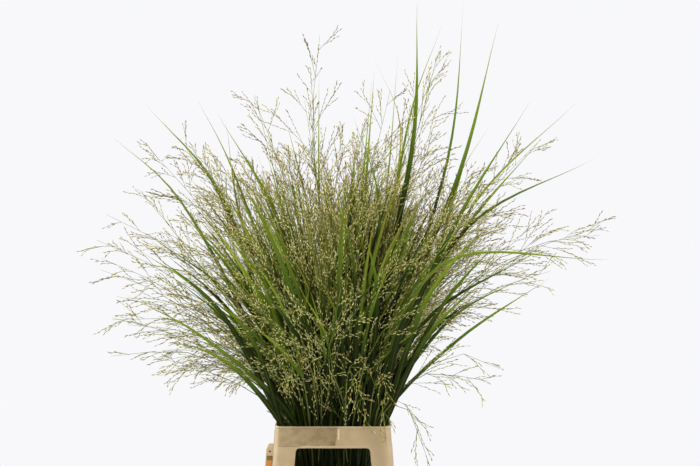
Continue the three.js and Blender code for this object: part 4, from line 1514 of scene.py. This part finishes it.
def seeded_shoot(rng, number, spread, blade_count):
    """One of the seeded shoots; its spread is 0 in the middle of the bunch and 1 at its outside."""
    azimuth = number * GOLDEN_TURN + rng.normal(0, 0.12)
    azimuth -= SIDEWAYS * math.sin(2 * azimuth)
    outer_tilt = FURTHER_TILT[1] - TILT_LEFT * math.cos(azimuth)
    tilt = math.radians(mix(FURTHER_TILT[0], outer_tilt, spread ** 0.75))

    def leaning(low, high):
        """From 0 for a shoot that leans low degrees to 1 for one that leans high degrees."""
        return ease(tilt, math.radians(low), math.radians(high))

    longest, shortest = mix(0.79, 0.9, leaning(10, 32)), mix(0.56, 0.38, leaning(12, 38))
    head = dome(azimuth, tilt, mix(shortest, longest, rng.uniform() ** 0.9))
    inner = math.sin(tilt) ** 0.5
    across = MOUTH_REACH[0] * math.cos(azimuth) * inner + rng.uniform(-6, 6)
    deep = MOUTH_REACH[1] * math.sin(azimuth) * inner + rng.uniform(-6, 6)
    mouth = np.clip((across, deep), (-MOUTH_LIMIT[0], -MOUTH_LIMIT[1]), MOUTH_LIMIT)
    line = shoot_line(head, (0.6, 14 + 40 * math.sin(tilt)), mouth)
    shoot = Shoot(line, mix(*FURTHER_HEADS, spread), FIRST_FURTHER + number)
    shoot.youth, shoot.fullness = season(head)
    shoot.youth += rng.uniform(-0.12, 0.12)
    for _ in range(round(blade_count * mix(1, 0.5, leaning(32, 60)))):
        reach = rng.uniform(0.4, mix(0.74, 0.84, leaning(15, 40)))
        tip = dome(azimuth + rng.uniform(-0.7, 0.7),
                   min(tilt * rng.uniform(0.5, 1.1), math.radians(rng.uniform(*BLADE_TILTS))), reach)
        away = np.array([rng.choice((-1, 1)) * LANE[0], rng.choice((-1, 1)) * LANE[1], 0.0]) * 0.7
        off = (rng.uniform(6, 24) + 30 * math.sin(tilt)) * reach
        shoot.add_blade(tip, (rng.uniform(*BLADE_BENDS), off), rng.uniform(*BLADE_WIDTHS),
                        rng.uniform(*BLADE_JOINTS), rng.uniform(*BLADE_TURNS), away, rng.uniform(0, 1))
    return shoot


def dome(azimuth, tilt, reach):
    """A tip on the bunch's round outline, as x, y and height over the rim."""
    far = (DOME_SIDE + DOME_RISE * math.cos(tilt) ** 2) * reach
    return np.array([far * math.sin(tilt) * math.cos(azimuth),
                     DOME_DEPTH * far * math.sin(tilt) * math.sin(azimuth), far * math.cos(tilt)])


def by_quarter(shoots):
    """The shoots of each quarter of the bunch, under the quarter's name."""
    groups = {}
    for shoot in shoots:
        x, y, _ = shoot.line.points[-1]
        quarter = ("front" if y < 0 else "back") + ("_left" if x < 0 else "_right")
        groups.setdefault(quarter, []).append(shoot)
    return sorted(groups.items())


def stem_piece(name, shoots, finish):
    """The culms of some shoots, each with a column of its own in the bake's map."""
    pile, tube = Pile(), culm_tube()
    for k, shoot in enumerate(shoots):
        column = (k / len(shoots) + 0.004, (k + 1) / len(shoots) - 0.004)
        pile.add(tube, shoot.stem_points(tube),
                 {BAKE_MAP: tube.map(*column, 0.01, 0.99), "Stem": tube.map(0, 1, 0, 1)})
    return pile.piece(name, finish, "culm")


def blade_piece(name, blades, strip, settings, finish):
    """Some blades, each with a column of its own in the bake's map."""
    pile = Pile()
    x, t, z = strip.points[strip.corners].T
    skin = z - settings.fold * np.abs(x)  # gives the strip's thin edges a little room in the maps
    across, along = 0.5 + 0.47 * x + 0.2 * skin, 0.005 + 0.99 * t + 0.02 * skin
    for k, blade in enumerate(blades):
        column = (k + 0.02 + 0.96 * across) / len(blades)
        maps = {BAKE_MAP: np.stack([column, along], -1), "Blade": np.stack([across, along], -1)}
        pile.add(strip, blade.points(strip, settings.ripple), maps, blade.tone)
    return pile.piece(name, finish, "leaf")


def head_shapes():
    """The three small shapes that seed heads are made of, one unit long."""
    return {
        "branch": drawn_tube(3, [(0, 1), (0.33, 1), (0.67, 1), (1, 1)]),
        "twig": drawn_tube(3, [(0, 1), (1, 0.75)]),
        "spikelet": drawn_tube(3, [(0, 0.1), (0.56, 1), (1, 0.1)], pointed=(0, -1)),
    }


class BuildStems(bpy.types.Operator):
    """Models the jointed culms"""

    bl_idname = "switchgrass.stems"
    bl_label = "Culms"
    bl_options = {"REGISTER", "UNDO"}

    def execute(self, context):
        finish = culm_finish(context.scene.switchgrass_heads)
        for shoot in main_shoots():
            piece = stem_piece("stem_%02d" % shoot.seed, [shoot], finish)
            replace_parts(piece, "culm_%02d" % shoot.seed)
        for name, shoots in by_quarter(scattered_shoots(context.scene.switchgrass_bunch)):
            stem_piece("stems_" + name, shoots, finish)
        return {"FINISHED"}


class BuildBlades(bpy.types.Operator):
    """Models the long blades"""

    bl_idname = "switchgrass.blades"
    bl_label = "Blades"
    bl_options = {"REGISTER", "UNDO"}

    def execute(self, context):
        settings = context.scene.switchgrass_blades
        finish = blade_finish(settings)
        strip, far_strip = blade_strip(settings, *NEAR_STRIP), blade_strip(settings, *FAR_STRIP)
        shoots = main_shoots()
        for shoot in shoots:
            for letter, blade in zip("ab", shoot.blades):
                piece = blade_piece("blade_%02d_%s" % (shoot.seed, letter), [blade], strip, settings, finish)
                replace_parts(piece, "leaf_%02d_%s" % (shoot.seed, letter))
        lone = []
        for rows, lane in ((FURTHER_BLADES, (0.8 * LANE[0], 1.1 * LANE[1])), (CORNER_BLADES, CORNER_LANE)):
            for number, tip, bend, width, joint, turn, tone in rows:
                away = np.array([math.copysign(lane[0], tip[0]), lane[1] * (-1 if tip[1] > 0 else 1), 0.0])
                shoots[number - 1].add_blade(tip, bend, width, joint, turn, away, tone)
                lone.append(shoots[number - 1].blades[-1])
        blade_piece("blades_middle", lone, strip, settings, finish)
        for name, group in by_quarter(scattered_shoots(context.scene.switchgrass_bunch)):
            blades = [blade for shoot in group for blade in shoot.blades]
            blade_piece("blades_" + name, blades, far_strip, settings, finish)
        return {"FINISHED"}


class BuildSeedHeads(bpy.types.Operator):
    """Models the airy seed heads"""

    bl_idname = "switchgrass.seed_heads"
    bl_label = "Seed heads"
    bl_options = {"REGISTER", "UNDO"}

    def execute(self, context):
        settings = context.scene.switchgrass_heads
        finish, shapes = seed_finish(settings), head_shapes()
        for shoot in main_shoots():
            pile = Pile()
            node = "panicle_%02d" % shoot.seed
            SeedHead(shoot, settings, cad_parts[node]).grow(pile, shapes)
            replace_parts(pile.piece("seed_head_%02d" % shoot.seed, finish, "panicle"), node)
        for name, group in by_quarter(scattered_shoots(context.scene.switchgrass_bunch)):
            pile = Pile()
            for shoot in group:
                SeedHead(shoot, settings).grow(pile, shapes)
            pile.piece("seed_heads_" + name, finish, "panicle")
        return {"FINISHED"}


# ---------------------------------------------------------------- the panel


OPERATORS = (BuildStage, BuildBucket, BuildCollar, BuildCardHolder, BuildStems, BuildBlades, BuildSeedHeads)
SETTINGS = {
    "switchgrass_stage": StageSettings,
    "switchgrass_container": ContainerSettings,
    "switchgrass_bunch": BunchSettings,
    "switchgrass_blades": BladeSettings,
    "switchgrass_heads": SeedHeadSettings,
}


class SwitchgrassPanel(bpy.types.Panel):
    """Lists the settings and what can be built"""

    bl_idname = "VIEW3D_PT_switchgrass"
    bl_label = "Switchgrass"
    bl_space_type = "VIEW_3D"
    bl_region_type = "UI"
    bl_category = "Switchgrass"

    def draw(self, context):
        for attribute, group in SETTINGS.items():
            box = self.layout.box()
            for name in group.__annotations__:
                box.prop(getattr(context.scene, attribute), name)
        for operator in OPERATORS:
            self.layout.operator(operator.bl_idname)


CLASSES = (*SETTINGS.values(), *OPERATORS, SwitchgrassPanel)


def register():
    for one in CLASSES:
        bpy.utils.register_class(one)
    for attribute, group in SETTINGS.items():
        setattr(bpy.types.Scene, attribute, bpy.props.PointerProperty(type=group))


def unregister():
    for attribute in SETTINGS:
        delattr(bpy.types.Scene, attribute)
    for one in reversed(CLASSES):
        bpy.utils.unregister_class(one)


def main():
    register()
    bpy.ops.switchgrass.stage()
    bpy.ops.switchgrass.bucket()
    bpy.ops.switchgrass.collar()
    bpy.ops.switchgrass.card_holder()
    bpy.ops.switchgrass.stems()
    bpy.ops.switchgrass.blades()
    bpy.ops.switchgrass.seed_heads()


if __name__ == "__main__":
    main()
